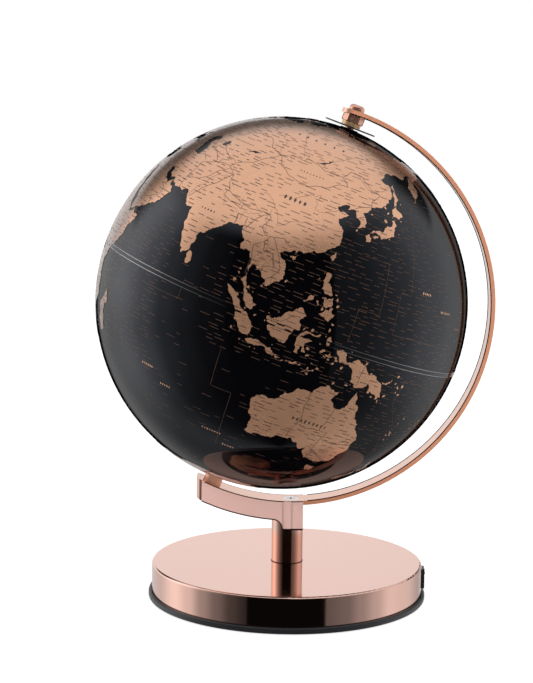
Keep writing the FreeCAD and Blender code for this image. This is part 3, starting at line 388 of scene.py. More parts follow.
def grown(name, tree, carrier, body, slot, place=None, **values):
    """Runs the tree on the carrier mesh and keeps the result as one plain piece."""
    maker = bpy.data.objects.new(name + "_maker", carrier)
    modifier = maker.modifiers.new("grow", "NODES")
    modifier.node_group = tree
    for item in tree.interface.items_tree:
        if item.item_type == "SOCKET" and item.in_out == "INPUT" and item.name.replace(" ", "_") in values:
            modifier[item.identifier] = values[item.name.replace(" ", "_")]
    mesh = made_solid(name, maker)
    if place is not None:
        mesh.transform(place)
    placed(name, mesh, body)


# finger ribs moulded on the lid, where it is pushed
row_tree, row_in, row_out = tree_with("ribs_in_a_row", [
    ("Count", "NodeSocketInt"), ("Pitch", "NodeSocketFloat"), ("Rib Length", "NodeSocketFloat"),
    ("Rib Width", "NodeSocketFloat"), ("Finish", "NodeSocketMaterial")])
row_line = row_tree.nodes.new("GeometryNodeMeshLine")
row_step = row_tree.nodes.new("ShaderNodeCombineXYZ")
fed(row_tree, row_step, row_in, X="Pitch")
fed(row_tree, row_line, row_in, Count="Count")
row_tree.links.new(row_step.outputs[0], row_line.inputs["Offset"])
rib_rod = row_tree.nodes.new("GeometryNodeMeshCylinder")
rib_rod.inputs["Vertices"].default_value = 12
fed(row_tree, rib_rod, row_in, Depth="Rib Length", Radius="Rib Width")
row_set = row_tree.nodes.new("GeometryNodeInstanceOnPoints")
row_set.inputs["Rotation"].default_value = (math.pi / 2, 0, 0)
row_tree.links.new(row_line.outputs[0], row_set.inputs["Points"])
row_tree.links.new(rib_rod.outputs[0], row_set.inputs["Instance"])
ends_with(row_tree, row_set.outputs[0], row_in, row_out)
lid_low, lid_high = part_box("battery_cover")
first_rib = (lid_low.x + 5 * MM, (lid_low.y + lid_high.y) / 2, lid_low.z + 0.05 * MM)
grown("lid_ribs", row_tree, bpy.data.meshes.new("lid_ribs_seed"), "stand", "black_tray_plastic",
      Matrix.Translation(first_rib),
      Count=9, Pitch=1.9 * MM, Rib_Length=22 * MM, Rib_Width=0.35 * MM, Finish=tray_plastic)

# ------------------------------------------------ feet and centre plug
# Four soft rubber feet in the tray's recesses, and the plug that closes its
# middle hole: matt, a little chalky, and darker than the tray.
foot_rubber = finish("foot_rubber", grain_group, (0.014, 0.014, 0.015), 0.78, bump=0.5, bump_mm=0.08,
                     Grain_Scale=1500.0, Cloud=0.6, specular=0.3)
painted(foot_rubber, "rubber_feet", "centre_plug")

# ------------------------------------------- ballast, screws and washers
# A turned steel disc gives the base its weight. It, the screws and the
# fixings of the stem are zinc plated: bluish, bright, slightly cloudy.
zinc = finish("zinc_steel", polish_group, (0.60, 0.62, 0.65), 0.30, metal=1.0, bump=0.25, bump_mm=0.05,
              Haze=0.30, Scratches=0.8, Waviness=0.5)
painted(zinc, "ballast_plate", "base_screws", "battery_cover_screw", "stem_nipple", "stem_washer", "stem_nut",
        "upper_clip", "lower_axle")

# ------------------------------------------------- cells and contacts
# Three AA cells in printed foil jackets, plain black with a copper-coloured
# band at the plus end, and nickelled spring-steel leaves at both ends.
jacket = finish("cell_jacket", polish_group, (0.05, 0.05, 0.055), 0.28, metal=0.2, bump=0.15, bump_mm=0.03,
                Haze=0.15, Scratches=0.5, Waviness=0.6)
band_from, band_to = (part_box("aa_cells")[1].x - distance * MM for distance in (13, 12.6))
along_cell = split_of(jacket.node_tree, "TexCoord", "Object")[0]
second_tone(jacket, ramp_between(jacket.node_tree, along_cell, band_from, band_to), (0.60, 0.28, 0.12))
painted(jacket, "aa_cells")
painted(finish("contact_metal", polish_group, (0.72, 0.70, 0.64), 0.22, metal=1.0, bump=0.2, bump_mm=0.04,
               Haze=0.25, Scratches=0.9, Waviness=0.4), "battery_contacts")

# ---------------------------------------------------------- base cover
# A spun steel drum, polished and then plated a rose gold. It mirrors the
# stem on its flat top, and it was wiped clean, so hairlines show in light.
plate = finish("rose_gold_plate", polish_group, (0.90, 0.57, 0.475), 0.075, metal=1.0, bump=0.05, bump_mm=0.05,
               Haze=0.06, Scratches=0.35, Waviness=0.5)
painted(plate, "base_cover")

# -------------------------------------------------------------- switch
# A snap-in rocker switch in the side of the drum: satin black bezel, glossy
# rocker with a raised bar at its lower end for off.
switch_plastic = finish("switch_plastic", grain_group, (0.016, 0.016, 0.018), 0.26, bump=0.2, bump_mm=0.02,
                        Grain_Scale=3400.0, Cloud=0.25)
painted(switch_plastic, "switch_housing", "switch_rocker")

# ---------------------------------------------------------- stem and arm
# One lacquered zinc casting: a round stem that turns into a flat bracket,
# plated like the drum but with the softer shine of a polished casting.
casting = finish("rose_gold_casting", polish_group, (0.86, 0.535, 0.43), 0.13, metal=1.0, bump=0.10, bump_mm=0.08,
                 Haze=0.10, Scratches=0.35, Waviness=0.6)
ct, cast_shader = casting.node_tree, casting.node_tree.nodes["Principled BSDF"]
cast_way, cast_place = split_of(ct, "NewGeometry", "Normal"), split_of(ct, "TexCoord", "Object")
arm_low, arm_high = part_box("stem_arm")
shoulder_from, shoulder_to = arm_low.z + 24.2 * MM, arm_low.z + 24.8 * MM
brushed = sum_node(ct, "MULTIPLY", ramp_between(ct, sum_node(ct, "ABSOLUTE", cast_way[1]), 0.93, 0.985),
                   ramp_between(ct, cast_place[2], shoulder_from, shoulder_to))
brush_lines = noise_in(ct, 1.0, 2.0, (45.0, 45.0, 5200.0))
second_tone(casting, brushed, (0.92, 0.60, 0.53))
ct.links.new(sum_node(ct, "MULTIPLY_ADD", brushed, -0.7, 1.0), cast_shader.inputs["Metallic"])
brushed_rough = sum_node(ct, "MULTIPLY", brushed, sum_node(ct, "MULTIPLY_ADD", brush_lines, 0.16, 0.44))
ct.links.new(sum_node(ct, "ADD", brushed_rough, effect_of(casting).outputs["Roughness"]), cast_shader.inputs["Roughness"])
painted(casting, "stem_arm")

# its sharp edges were rolled over; the thin dark line along them is painted shade
shade_line_paint = finish("buffed_edge", polish_group, (0.20, 0.105, 0.085), 0.18, metal=1.0, bump=0.05, bump_mm=0.03,
                Haze=0.2, Scratches=0.3, Waviness=0.4)


def edge_line(name, runs, radius, roundness):
    """Fine rounded edges along those runs of points, in metres, in the dark painted-shade finish."""
    line = bpy.data.curves.new(name, "CURVE")
    line.dimensions = "3D"
    for path in runs:
        run = line.splines.new("POLY")
        run.points.add(len(path) - 1)
        for spot, p in zip(run.points, path):
            spot.co = (*p, 1)
    line.bevel_depth = radius
    line.bevel_resolution = roundness
    line.use_fill_caps = True
    mesh = made_solid(name, bpy.data.objects.new(name + "_maker", line))
    for face in mesh.polygons:
        face.use_smooth = True
    mesh.materials.append(shade_line_paint)
    placed(name, mesh, "stand")


def arc_run(middle_x, middle_z, radius, start, end, side, steps=48):
    """Points round an arc in the plane of the stand; angles in degrees from +X, upwards."""
    return [(middle_x + radius * math.cos(math.radians(a)), side, middle_z + radius * math.sin(math.radians(a)))
            for a in (start + (end - start) * k / steps for k in range(steps + 1))]


ring_x, ring_z = 0.7 * MM, 201.2 * MM
arm_half, arm_top, arm_under = 10.15 * MM, 133.75 * MM, 146.5 * MM
leg_x, leg_z, hollow_radius = -3.21 * MM, 48.09 * MM, 7.0 * MM
# thin dark lines of painted shade along the arm's upper and lower edges
for side_name, side in (("front", -arm_half), ("back", arm_half)):
    under = (arc_run(ring_x, ring_z, arm_under, 246.2, 265.9, side)
             + arc_run(leg_x - hollow_radius, leg_z, hollow_radius, 85.9, 0.0, side, 12)
             + [(leg_x, side, leg_z), (4 * MM, side, leg_z), (arm_high.x - 0.2 * MM, side, leg_z)])
    edge_line(f"arm_lower_edge_{side_name}", [under], 0.42 * MM, 2)
    edge_line(f"arm_upper_edge_{side_name}", [arc_run(ring_x, ring_z, arm_top, 244.6, 274.2, side)], 0.36 * MM, 2)

# a thin dark ring where the stem stands on the drum: a painted contact shadow
foot_radius, foot_top, foot_steps = 10.75 * MM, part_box("base_cover")[1].z + 0.22 * MM, 64
foot_line = [(foot_radius * math.cos(math.tau * k / foot_steps), foot_radius * math.sin(math.tau * k / foot_steps), foot_top)
             for k in range(foot_steps + 1)]
edge_line("stem_foot_line", [foot_line], 0.30 * MM, 2)

# ------------------------------------------------------- meridian strip
# Flat steel strip rolled to half a ring, plated all over. Its two narrow edges
# were linished, so they are a little rougher and more orange than the face.
strip = finish("rose_gold_bar", polish_group, (0.87, 0.50, 0.37), 0.12, metal=1.0, bump=0.08, bump_mm=0.06,
               Haze=0.10, Scratches=0.45, Waviness=0.5)
st, strip_shader = strip.node_tree, strip.node_tree.nodes["Principled BSDF"]
edge_face = ramp_between(st, sum_node(st, "ABSOLUTE", split_of(st, "NewGeometry", "Normal")[1]), 0.80, 0.96)
second_tone(strip, edge_face, (0.76, 0.33, 0.19))
st.links.new(sum_node(st, "MULTIPLY_ADD", edge_face, -0.6, 1.0), strip_shader.inputs["Metallic"])
edge_rough = sum_node(st, "MULTIPLY_ADD", edge_face, 0.30, effect_of(strip).outputs["Roughness"])
st.links.new(edge_rough, strip_shader.inputs["Roughness"])
painted(strip, "meridian_arc")
strip_half, strip_inside = (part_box("meridian_arc")[1].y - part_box("meridian_arc")[0].y) / 2, 133.6 * MM
# thin dark lines of painted shade along the strip's inner edges
for side_name, side in (("front", -strip_half), ("back", strip_half)):
    edge_line(f"strip_inner_edge_{side_name}", [arc_run(ring_x, ring_z, strip_inside, -84.5, 74.0, side, 160)], 0.38 * MM, 2)

# ----------------------------------------------------------- arc screw
# The countersunk cross-head screw that holds the strip in the bracket,
# chromed bright.
painted(finish("screw_chrome", polish_group, (0.74, 0.70, 0.68), 0.12, metal=1.0, bump=0.1, bump_mm=0.04,
               Haze=0.15, Scratches=0.7, Waviness=0.3), "arc_screw")

# ---------------------------------------------------- axis fittings
# Turned pieces at the two ends of the globe's axis: rose gold collars and
# cap, a brass spacer, and nylon bushes in the ball's two holes.
fittings = finish("rose_gold_fittings", polish_group, (0.96, 0.49, 0.34), 0.30, metal=0.50, bump=0.1, bump_mm=0.05,
                  Haze=0.08, Scratches=0.5, Waviness=0.3)
painted(fittings, "lower_collar")
turned_gold = finish("rose_gold_turned", polish_group, (0.84, 0.43, 0.31), 0.18, metal=0.88, bump=0.1, bump_mm=0.05,
                     Haze=0.08, Scratches=0.5, Waviness=0.3)
painted(turned_gold, "upper_collar", "upper_pivot")


def worn_edges(name, piece_name, radius, least_turn=35.0):
    """Fine dark lines of painted shade along the edges of that CAD piece that turn by more than least_turn degrees."""
    source = frame["nodes"][piece_name]
    shape = bmesh.new()
    shape.from_mesh(source.data)
    bmesh.ops.remove_doubles(shape, verts=shape.verts, dist=0.02 * MM)
    runs = [[source.matrix_world @ corner.co for corner in edge.verts] for edge in shape.edges
            if len(edge.link_faces) == 2 and edge.calc_face_angle() > math.radians(least_turn)]
    shape.free()
    edge_line(name, runs, radius, 1)


worn_edges("collar_worn_edges", "upper_collar", 0.24 * MM)
worn_edges("cap_worn_edges", "upper_pivot", 0.20 * MM)
painted(finish("brass_spacer", polish_group, (0.78, 0.50, 0.27), 0.28, metal=0.75, bump=0.15, bump_mm=0.04,
               Haze=0.2, Scratches=0.7, Waviness=0.3), "upper_spacer")
painted(finish("nylon", grain_group, (0.035, 0.034, 0.034), 0.42, bump=0.2, bump_mm=0.03,
               Grain_Scale=2600.0, Cloud=0.3), "north_bush", "south_bush", "equator_ring")

# ------------------------------------------------------------ the lamp
# Inside the ball: a round printed board with six warm white chips under a
# frosted dome, and two PVC leads that run down through the axle.
painted(finish("board_laminate", grain_group, (0.72, 0.72, 0.68), 0.4, bump=0.2, bump_mm=0.03,
               Grain_Scale=1200.0, Cloud=0.2), "led_board")
painted(finish("lamp_resin", grain_group, (0.85, 0.62, 0.12), 0.25, bump=0.1, bump_mm=0.02,
               Grain_Scale=900.0, Cloud=0.3), "led_chips")
painted(finish("frosted_plastic", grain_group, (0.84, 0.84, 0.82), 0.55, bump=0.4, bump_mm=0.03,
               Grain_Scale=3200.0, Cloud=0.1), "led_diffuser")
painted(finish("cable_pvc", grain_group, (0.02, 0.02, 0.021), 0.42, bump=0.25, bump_mm=0.05,
               Grain_Scale=1500.0, Cloud=0.4), "led_cable", "switch_cable")

# ----------------------------------------------------------- the ball
# Two moulded half shells, sprayed black and cleared with a deep gloss. Under
# the gloss is a very slight orange peel, and a few hairlines from dusting.
spin = next(j for j in frame["joints"] if j["name"] == "globe_spin")
ball_middle = Vector(spin["pos_m"])
pole = Vector(spin["axis"]).normalized()
ball_front = Vector((0, -1, 0))
ball_right = pole.cross(ball_front)
ball_radius = (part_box("north_shell")[1].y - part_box("north_shell")[0].y) / 2
lacquer = finish("globe_lacquer", polish_group, (0.0011, 0.0011, 0.0015), 0.04, bump=0.05, bump_mm=0.04,
                 Haze=0.02, Scratches=0.25, Waviness=0.9)
painted(lacquer, "north_shell", "south_shell")
gloss_shader = lacquer.node_tree.nodes["Principled BSDF"]
gloss_shader.inputs["Specular Tint"].default_value = (0.82, 0.87, 1.0, 1)


def edge_on(tree, low, high, out_low, out_high):
    """A value that changes as the surface turns edge-on; it dulls the gloss there, and on the ink it paints shade near
    the ball's outline.
    """
    turned = tree.nodes.new("ShaderNodeLayerWeight")
    turned.inputs["Blend"].default_value = 0.5
    return ramp_between(tree, turned.outputs["Facing"], low, high, out_low, out_high)


lacquer.node_tree.links.new(edge_on(lacquer.node_tree, 0.48, 0.86, 0.5, 0.0), gloss_shader.inputs["Specular IOR Level"])

# -------------------------------------------------- printed land
# The map is screen printed in a copper metallic ink and cleared over, so it
# shines softly and stands a hair above the sea. Its coasts are fine and
# broken. Every shape goes round its coast as longitude, latitude.
front_longitude = 113.4
land_high, lake_high, line_high, word_high = (v * MM for v in (0.21, 0.235, 0.25, 0.27))
coasts = {
    "eurasia": [(-9.3,43),(-5,43.6),(-1.8,43.4),(-1.2,46),(-4.6,48.4),(-1.6,48.7),(0.2,49.7),(3,51.3),(4.7,53),(6,53.4),
        (8.5,53.8),(8.2,56.8),(10.5,57.6),(10,55),(12,54.2),(14.2,54),(18.5,54.7),(21,55.5),(21.5,57.4),(24,57.2),
        (23.5,59.2),(28,59.6),(30,60),(25,60.2),(22.5,60),(21.4,61.5),(21.5,63),(25.3,65),(24,65.8),(22,65.6),(20.5,63.8),
        (17.5,62),(17.3,60.7),(18.8,59.9),(16.6,58.5),(16,56.2),(13,55.4),(11.2,58.9),(8,58.1),(5.5,59),(5,61.5),
        (8.5,63.6),(12,65.5),(15,68.2),(20,70),(26,71),(31,70.3),(33,69.4),(41,67.3),(40.5,66.3),(33,66.7),(34.5,64.5),
        (38,64),(40.5,64.6),(40,65.6),(44,66),(43.5,68.5),(46,68.2),(46.5,66.9),(53,68.5),(60,68.7),(60.5,69.8),(67,68.8),
        (67,71),(69,72.8),(73,72.5),(72.8,69),(74,66.5),(78,67.5),(74.2,69),(75,72),(81,72),(81,73.5),(87,75),(98,76.3),
        (104,77.6),(113,76),(113,74),(107,73.3),(118,73),(128,72.5),(130,71),(139,72.3),(150,71.3),(160,69.7),(170,69.8),
        (171,69),(180,68.9),(190,66.2),(187,64.4),(180,65.2),(177.5,62.5),(172,61),(165,60),(162.5,58),(163,56),
        (160,53.3),(156.8,51),(155.7,56),(159,59),(163.5,61.5),(164.5,62.5),(160,61.5),(155.5,59.5),(149,59.6),
        (142.5,59.2),(138,56),(135.2,54.7),(138,53.8),(141,53.2),(140.5,48.5),(138,46.2),(135.5,44),(131,42.8),(129.7,41),
        (127.5,39.7),(129.4,37),(129.2,35.3),(126.5,34.4),(126.7,37),(125.2,37.8),(124.8,39.6),(121.5,38.9),(122,40.6),
        (119.5,39.8),(117.9,39),(119,37.3),(122.5,37.2),(119.3,35),(120.8,33),(121.8,31.8),(122,29.5),(119.5,25.4),
        (116.5,23),(113.5,22.1),(110.4,21.3),(110,20.4),(109.7,21.5),(106.7,20.2),(105.6,18.8),(108.8,15.3),(109.4,12.5),
        (107,10.4),(105,8.6),(104.9,10.2),(102.3,12.2),(100.9,12.8),(100.1,13.4),(99.2,11),(99.4,9.2),(100.4,7.2),
        (103.4,4.5),(104.2,1.4),(103.4,1.4),(101.3,2.9),(100.3,5.5),(98.3,8),(98.6,12),(97.6,16.4),(94.3,16),(94.4,18.5),
        (92.3,20.8),(91.8,22.5),(89,21.8),(87,21.3),(85.2,19.5),(82.3,16.7),(80.2,15.5),(80.2,13),(79.8,10.3),(78.2,8.9),
        (77.5,8.1),(76.3,9.9),(74.8,13),(73.3,16.5),(72.8,19.5),(72.6,21.5),(70.5,20.9),(69,22.3),(67.3,24.2),(66.6,25.3),
        (61.7,25.1),(57.3,25.7),(56.5,27),(54,26.7),(51.4,27.8),(50,30.2),(48.4,30),(48,29.3),(50.1,26.6),(51.5,24.5),
        (51.6,25.8),(54,24.2),(56.3,26.2),(56.4,24.7),(59.8,22.5),(57.7,19),(55.2,17.5),(52.2,15.6),(45,12.9),(43.4,12.8),
        (42.7,16),(39.2,20.5),(37.2,24.7),(35,28),(34.9,29.5),(34.2,27.9),(32.6,29.9),(32.3,31.2),(34.3,31.3),(35.9,35),
        (36,36.8),(32.5,36.1),(30.6,36.8),(27.5,36.8),(26.3,39),(26.8,40.4),(29,41),(31.3,41.2),(35,42),(38.3,40.9),
        (41.5,41.5),(39,43.8),(37.3,45.2),(39.2,47.1),(35,46.3),(36.5,45.4),(33.5,44.5),(32.6,45.8),(31,46.6),(29.6,45.2),
        (28,43.3),(28.1,41.6),(26,40.8),(23.8,40.6),(22.8,39.6),(24,38),(23.1,36.5),(21.6,37),(20.8,38.6),(19.4,41.3),
        (16,43.5),(13.6,45.3),(12.3,44.8),(13.7,43.3),(16,41.8),(18.4,40),(16.9,40.4),(17,39),(15.8,38),(15.6,40),
        (12.5,41.5),(10.3,43.4),(8.8,44.4),(7.4,43.7),(4.5,43.4),(3.1,42.5),(0.7,40.7),(-0.3,38.8),(-2.1,36.8),(-5.5,36),
        (-7.3,37.1),(-8.9,37),(-9.4,39),(-8.7,41.8)],
    "africa": [(-5.9,35.8),(-2,35.1),(3,36.8),(9.8,37.3),(11,36.8),(10.3,34.2),(15.2,32.3),(19,30.3),(20.1,32.2),
        (23,32.6),(29,30.9),(32.3,31.2),(32.5,30),(35.5,24),(37.2,21),(37.4,18.8),(39.6,15.5),(43.2,12.5),(43.3,11.5),
        (51.2,11.8),(51,10.4),(48,4.5),(42.6,-0.5),(39.5,-4.5),(39.4,-7),(40.6,-10.6),(40.6,-15),(37,-17.8),(34.8,-19.9),
        (35.5,-23),(32.8,-26),(32,-28.9),(28,-32.9),(25.6,-34),(20,-34.8),(18.4,-34),(18.2,-31.7),(15.2,-26.8),
        (14.5,-22.5),(11.8,-17.5),(13.6,-12.5),(12.3,-6.1),(9.2,-1.5),(9.7,2),(9.4,4),(6,4.3),(4.4,6.3),(-2,4.8),
        (-7.7,4.4),(-13.2,8.8),(-16.7,12.4),(-17.4,14.7),(-16.3,19),(-17,21.5),(-14.5,26),(-11.5,28.3),(-9.7,30),
        (-9.7,31.5),(-6.8,34)],
    "north_america": [(-168,65.6),(-162,66.5),(-166,68.3),(-156.5,71.3),(-141,69.6),(-128,70),(-115,68.5),(-108,67.8),
        (-95,68.2),(-94,71.5),(-90,69),(-82,69.5),(-82,67),(-87,65),(-94,61),(-94.5,58.8),(-92.5,57),(-85,55.3),
        (-82.2,52.9),(-80,51.2),(-79,54.5),(-76.6,57.2),(-78,62.4),(-73.5,62.4),(-69.5,61),(-65,59.5),(-61.5,56),
        (-57.5,54),(-55.7,52.3),(-60,50.3),(-66.5,50.3),(-70,47.5),(-65,49),(-64.5,46.3),(-61,45.5),(-65.5,43.5),(-67,45),
        (-70.5,43),(-70,41.7),(-74,40.6),(-75.5,37.5),(-76,35),(-81,32),(-81.3,29.5),(-80.1,26),(-81.2,25.2),(-82.7,28),
        (-84.2,30),(-89.5,30.2),(-91,29.2),(-94,29.6),(-97.2,27.8),(-97.8,22.5),(-95.8,18.6),(-92,18.6),(-90.4,21),
        (-87,21.5),(-88,18.3),(-88.5,16),(-84,15.8),(-83.3,14.8),(-83.7,11),(-81,8.8),(-77.5,8.6),(-77.8,7.5),(-80.3,7.3),
        (-83,8.3),(-85.7,10),(-87.7,13),(-92,14.4),(-96,15.7),(-101,17.4),(-105.4,19.8),(-105.5,22.5),(-109,25.7),
        (-112.8,30),(-114.8,31.6),(-112,27),(-109.5,23.1),(-112,25),(-115,28),(-116.5,31.5),(-118.3,33.8),(-121,35),
        (-122.4,37.5),(-124.3,40.3),(-124,46),(-123,48.9),(-127.5,51),(-130.5,54.8),(-136,58.5),(-141,59.9),(-147,61),
        (-152,59.2),(-154,58),(-160,55.5),(-164.5,54.6),(-158,58.5),(-162,58.7),(-165.5,61.5),(-161,64.3),(-166,64.5)],
    "south_america": [(-77.5,8.6),(-75.5,10.6),(-71.7,12.4),(-71.5,10.8),(-68,12),(-62,10.7),(-57,6),(-51.5,4.3),(-50,0),
        (-44,-2.5),(-38.5,-3.7),(-35,-5.5),(-35,-8.5),(-37.5,-11.5),(-39,-15),(-39.5,-18.5),(-41,-22),(-44.5,-23),
        (-48.5,-25.8),(-48.7,-28.3),(-52,-32.5),(-55,-34.9),(-58.4,-34),(-57,-36.5),(-62,-38.9),(-65,-41),(-63.8,-42.5),
        (-65.5,-45),(-67.5,-46),(-65.8,-47.8),(-69,-51),(-65.5,-54.8),(-71,-54.9),(-74.5,-52),(-75.5,-47),(-73,-42),
        (-73.6,-37.2),(-71.5,-30),(-70.2,-20),(-71.5,-17.5),(-76.2,-13.8),(-79.5,-7.5),(-81.3,-4.5),(-80,-2.5),(-80,0.5),
        (-78.5,2),(-77.3,4)],
    "greenland": [(-73,78.2),(-60,82),(-35,83.5),(-18,80.5),(-20,75),(-23,71),(-32,68),(-40,65),(-43.5,60),(-48.5,61),
        (-53.5,67),(-54.5,70.5),(-58,75)],
    "antarctica": [(0,-70),(20,-70),(40,-69),(55,-66),(80,-68),(100,-66),(120,-67),(140,-66.5),(160,-70),(168,-73),
        (165,-78),(200,-78),(220,-75.5),(250,-74.5),(265,-73),(285,-72),(293,-67.5),(302,-63.5),(299,-68),(298,-75),
        (320,-78),(335,-75),(350,-71)],
    "australia": [(142.5,-10.8),(143.8,-14.4),(145.3,-15),(146.3,-18.9),(149,-20.5),(151,-23.5),(153.2,-26),(153.2,-29.5),
        (151.5,-33),(150,-37.2),(147,-38.3),(144.5,-38.2),(140.5,-38),(138,-35.5),(137.8,-33),(136,-34.8),(134,-32.8),
        (131,-31.5),(126,-32.3),(123.5,-33.9),(119.9,-34),(118,-35),(115,-34.3),(115.7,-31.8),(114,-27),(113.4,-24),
        (114.2,-21.9),(117,-20.7),(121,-19.5),(122.2,-17.5),(125,-15),(128,-14.8),(129.5,-15),(130.8,-12.4),(132.6,-11.4),
        (136.8,-12.2),(135.6,-15),(139.5,-17.5),(141,-16.5),(141.6,-13)],
    "new_guinea": [(131,-0.8),(134,-0.8),(135,-3.3),(138,-1.6),(141,-2.6),(145,-4.4),(147.6,-6),(150.8,-10.4),(147.5,-10),
        (144.5,-7.6),(142.5,-9.2),(138.5,-8.2),(138,-5.5),(133,-4),(132.5,-2.8)],
    "borneo": [(109,1.5),(111,1.6),(113,3.2),(115.5,5.5),(117,7),(119.2,5.2),(117.8,3.5),(118.9,1),(117.5,0.8),
        (116.5,-1.8),(116,-4),(114.5,-4),(111.8,-3.4),(110,-1.5)],
    "sumatra": [(95.3,5.6),(98,4.3),(100.5,2.2),(103.5,0),(106,-3),(105.8,-5.8),(104.5,-5.8),(102,-3.8),(100.3,-0.9),
        (98.7,1.7),(96,4)],
    "java": [(105.3,-6.8),(106.8,-6),(110.8,-6.4),(112.7,-6.9),(114.5,-7.8),(114.3,-8.7),(108.5,-7.8),(106.3,-7.4)],
    "sulawesi": [(119,-3.5),(119.6,0.4),(120.8,1.3),(125,1.6),(120.8,0.4),(120.2,-0.9),(123.3,-0.8),(121.5,-2),
        (122.5,-4.5),(121.5,-4.7),(120.9,-3),(120.4,-5.5),(119.4,-5.5)],
    "luzon": [(120.3,16),(120.6,18.5),(122.2,18.4),(121.6,16),(124,13.2),(123.8,12.7),(120.7,13.8)],
    "mindanao": [(122,7),(123.5,8.6),(125.5,9.8),(126.5,7.3),(125.4,5.7),(124,6.8)],
    "visayas": [(122,11.8),(123.2,11.5),(124.8,12.4),(125.2,10.6),(123.2,9.2),(122.4,10)],
    "honshu": [(130.9,34),(132.5,35.5),(136,35.8),(137,37.5),(139.5,38.5),(140,40.8),(141.5,41.4),(142,39.5),(140.9,37),
        (140.8,35.6),(138.5,34.7),(135.8,33.5),(135,34.6)],
    "hokkaido": [(140,41.5),(140.4,43.3),(141.8,45.5),(145.5,43.3),(143.2,42),(141,42.4)],
    "kyushu": [(129.7,33),(131,33.8),(132,32.8),(131.2,31.3),(130.2,31.2)],
    "shikoku": [(132.2,33.5),(134.5,34.2),(134.3,33.5),(133,32.8)], "taiwan": [(120.1,23),(121.6,25.2),(121,22)],
    "hainan": [(108.7,19.2),(110.8,20.1),(110,18.4)], "sri_lanka": [(79.8,8),(80.2,9.8),(81.8,7.5),(80.5,6)],
    "sakhalin": [(142,46),(142.2,50),(141.9,53.5),(143,54.3),(143.3,51),(144.6,49),(143,46.8)],
    "madagascar": [(49.3,-12),(50.4,-15.8),(47.2,-24.9),(45,-25.5),(43.3,-22),(44.3,-17),(46.5,-15.7)],
    "north_new_zealand": [(173,-34.5),(175.5,-36.5),(178.5,-37.7),(177,-39.5),(175.2,-41.6),(173.8,-39.3),(174.8,-37.8)],
    "south_new_zealand": [(172.7,-40.5),(174.3,-41.8),(172.5,-43.7),(170.7,-45.9),(168.5,-46.6),(166.5,-45.9),(168.5,-44),
        (171,-42.4)],
    "tasmania": [(144.8,-40.8),(148.2,-40.9),(147.9,-43.2),(146,-43.5)],
    "britain": [(-5.5,50.1),(1.4,51.2),(1.6,52.8),(-0.5,54.5),(-2,57.6),(-3.5,58.6),(-5.5,58),(-5,55),(-3.2,54.5),
        (-4.6,53),(-5,51.8),(-3,51.4)],
    "ireland": [(-10,52),(-6.3,52.3),(-5.6,54.6),(-8,55.3),(-10,54)],
    "iceland": [(-24,65.5),(-22.5,64),(-18.8,63.5),(-13.6,65),(-16,66.5),(-20.5,66)],
    "cuba": [(-85,22),(-80.5,23.2),(-74.3,20.2),(-77.5,20),(-82,22.5)],
    "hispaniola": [(-74.4,18.5),(-72.8,19.9),(-68.5,18.6),(-71.5,17.8)],
    "baffin": [(-80,73.7),(-70,70.5),(-62,66.5),(-65,62),(-72,64),(-73,68),(-85,70),(-90,73)],
    "ellesmere": [(-90,77),(-78,77),(-62,82.4),(-75,83),(-92,81)],
    "victoria_island": [(-117,70),(-105,69),(-105,73),(-116,73.5)],
    "novaya_zemlya": [(51.5,71.5),(56,73.5),(68.5,76.8),(60,76),(55,75),(53,72.8)],
    "svalbard": [(11,79),(17,80),(24,80),(21,78.4),(16.5,76.7)], "severnaya": [(95,79.5),(100,81),(105,79),(99,78.2)],
    "new_siberian": [(138,75.5),(145,76),(150,75),(142,73.6)],
    "new_britain": [(148.5,-5.8),(151,-5.5),(152.3,-4.2),(151.7,-5.6),(149.8,-6.3)],
    "timor": [(123.5,-10.3),(127,-8.4),(125,-9.3)], "flores": [(116.8,-9),(119,-8.4),(122.8,-8.3),(120,-8.9)],
    "halmahera": [(127.5,-0.8),(127.8,2),(128.6,1),(128.2,-0.6)], "seram": [(128,-3.2),(130.8,-3.0),(129,-3.6)],
    "sicily": [(12.5,38),(15.6,38.2),(15.1,36.7)], "sardinia": [(8.3,39),(8.3,41),(9.7,41),(9.6,39.2)],
    "crete": [(23.6,35.4),(26.3,35.2),(24.7,34.9)], "cyprus": [(32.3,34.9),(34.5,35.6),(33.8,34.9)],
    "newfoundland": [(-59.3,47.7),(-56,51.6),(-52.8,47),(-55.8,46.9)],
    "vancouver_island": [(-128,50.7),(-123.5,48.4),(-125.5,48.8)], "palawan": [(117.2,8.4),(119.5,11.3),(119.2,10)],
    "bali": [(114.6,-8.2),(116.6,-8.3),(115.6,-8.9)], "new_caledonia": [(164,-20.2),(167,-22.3),(165.5,-21.8)],
    "solomons": [(155,-5.5),(156,-6.8),(155.4,-6.6)], "kamchatka_isles": [(155.8,50.2),(156.5,50.8),(155.6,50.5)],
    "fiji": [(177.3,-17.6),(178.6,-17.5),(178,-18.2)], "vanuatu": [(166.6,-15),(167.2,-15.6),(166.8,-15.8)],
    "hawaii": [(-156,20.2),(-155,19.6),(-155.8,19)], "jamaica": [(-78.3,18.4),(-76.3,18),(-77.5,17.8)],
}


def on_ball(longitude, latitude, high=0.0):
    """The point of the ball's surface at that longitude and latitude, in metres."""
    east = math.radians(longitude - front_longitude)
    north = math.radians(latitude)
    out = (ball_front * math.cos(east) + ball_right * math.sin(east)) * math.cos(north) + pole * math.sin(north)
    return ball_middle + out * (ball_radius + high)


def outward(point):
    return (point - ball_middle).normalized()


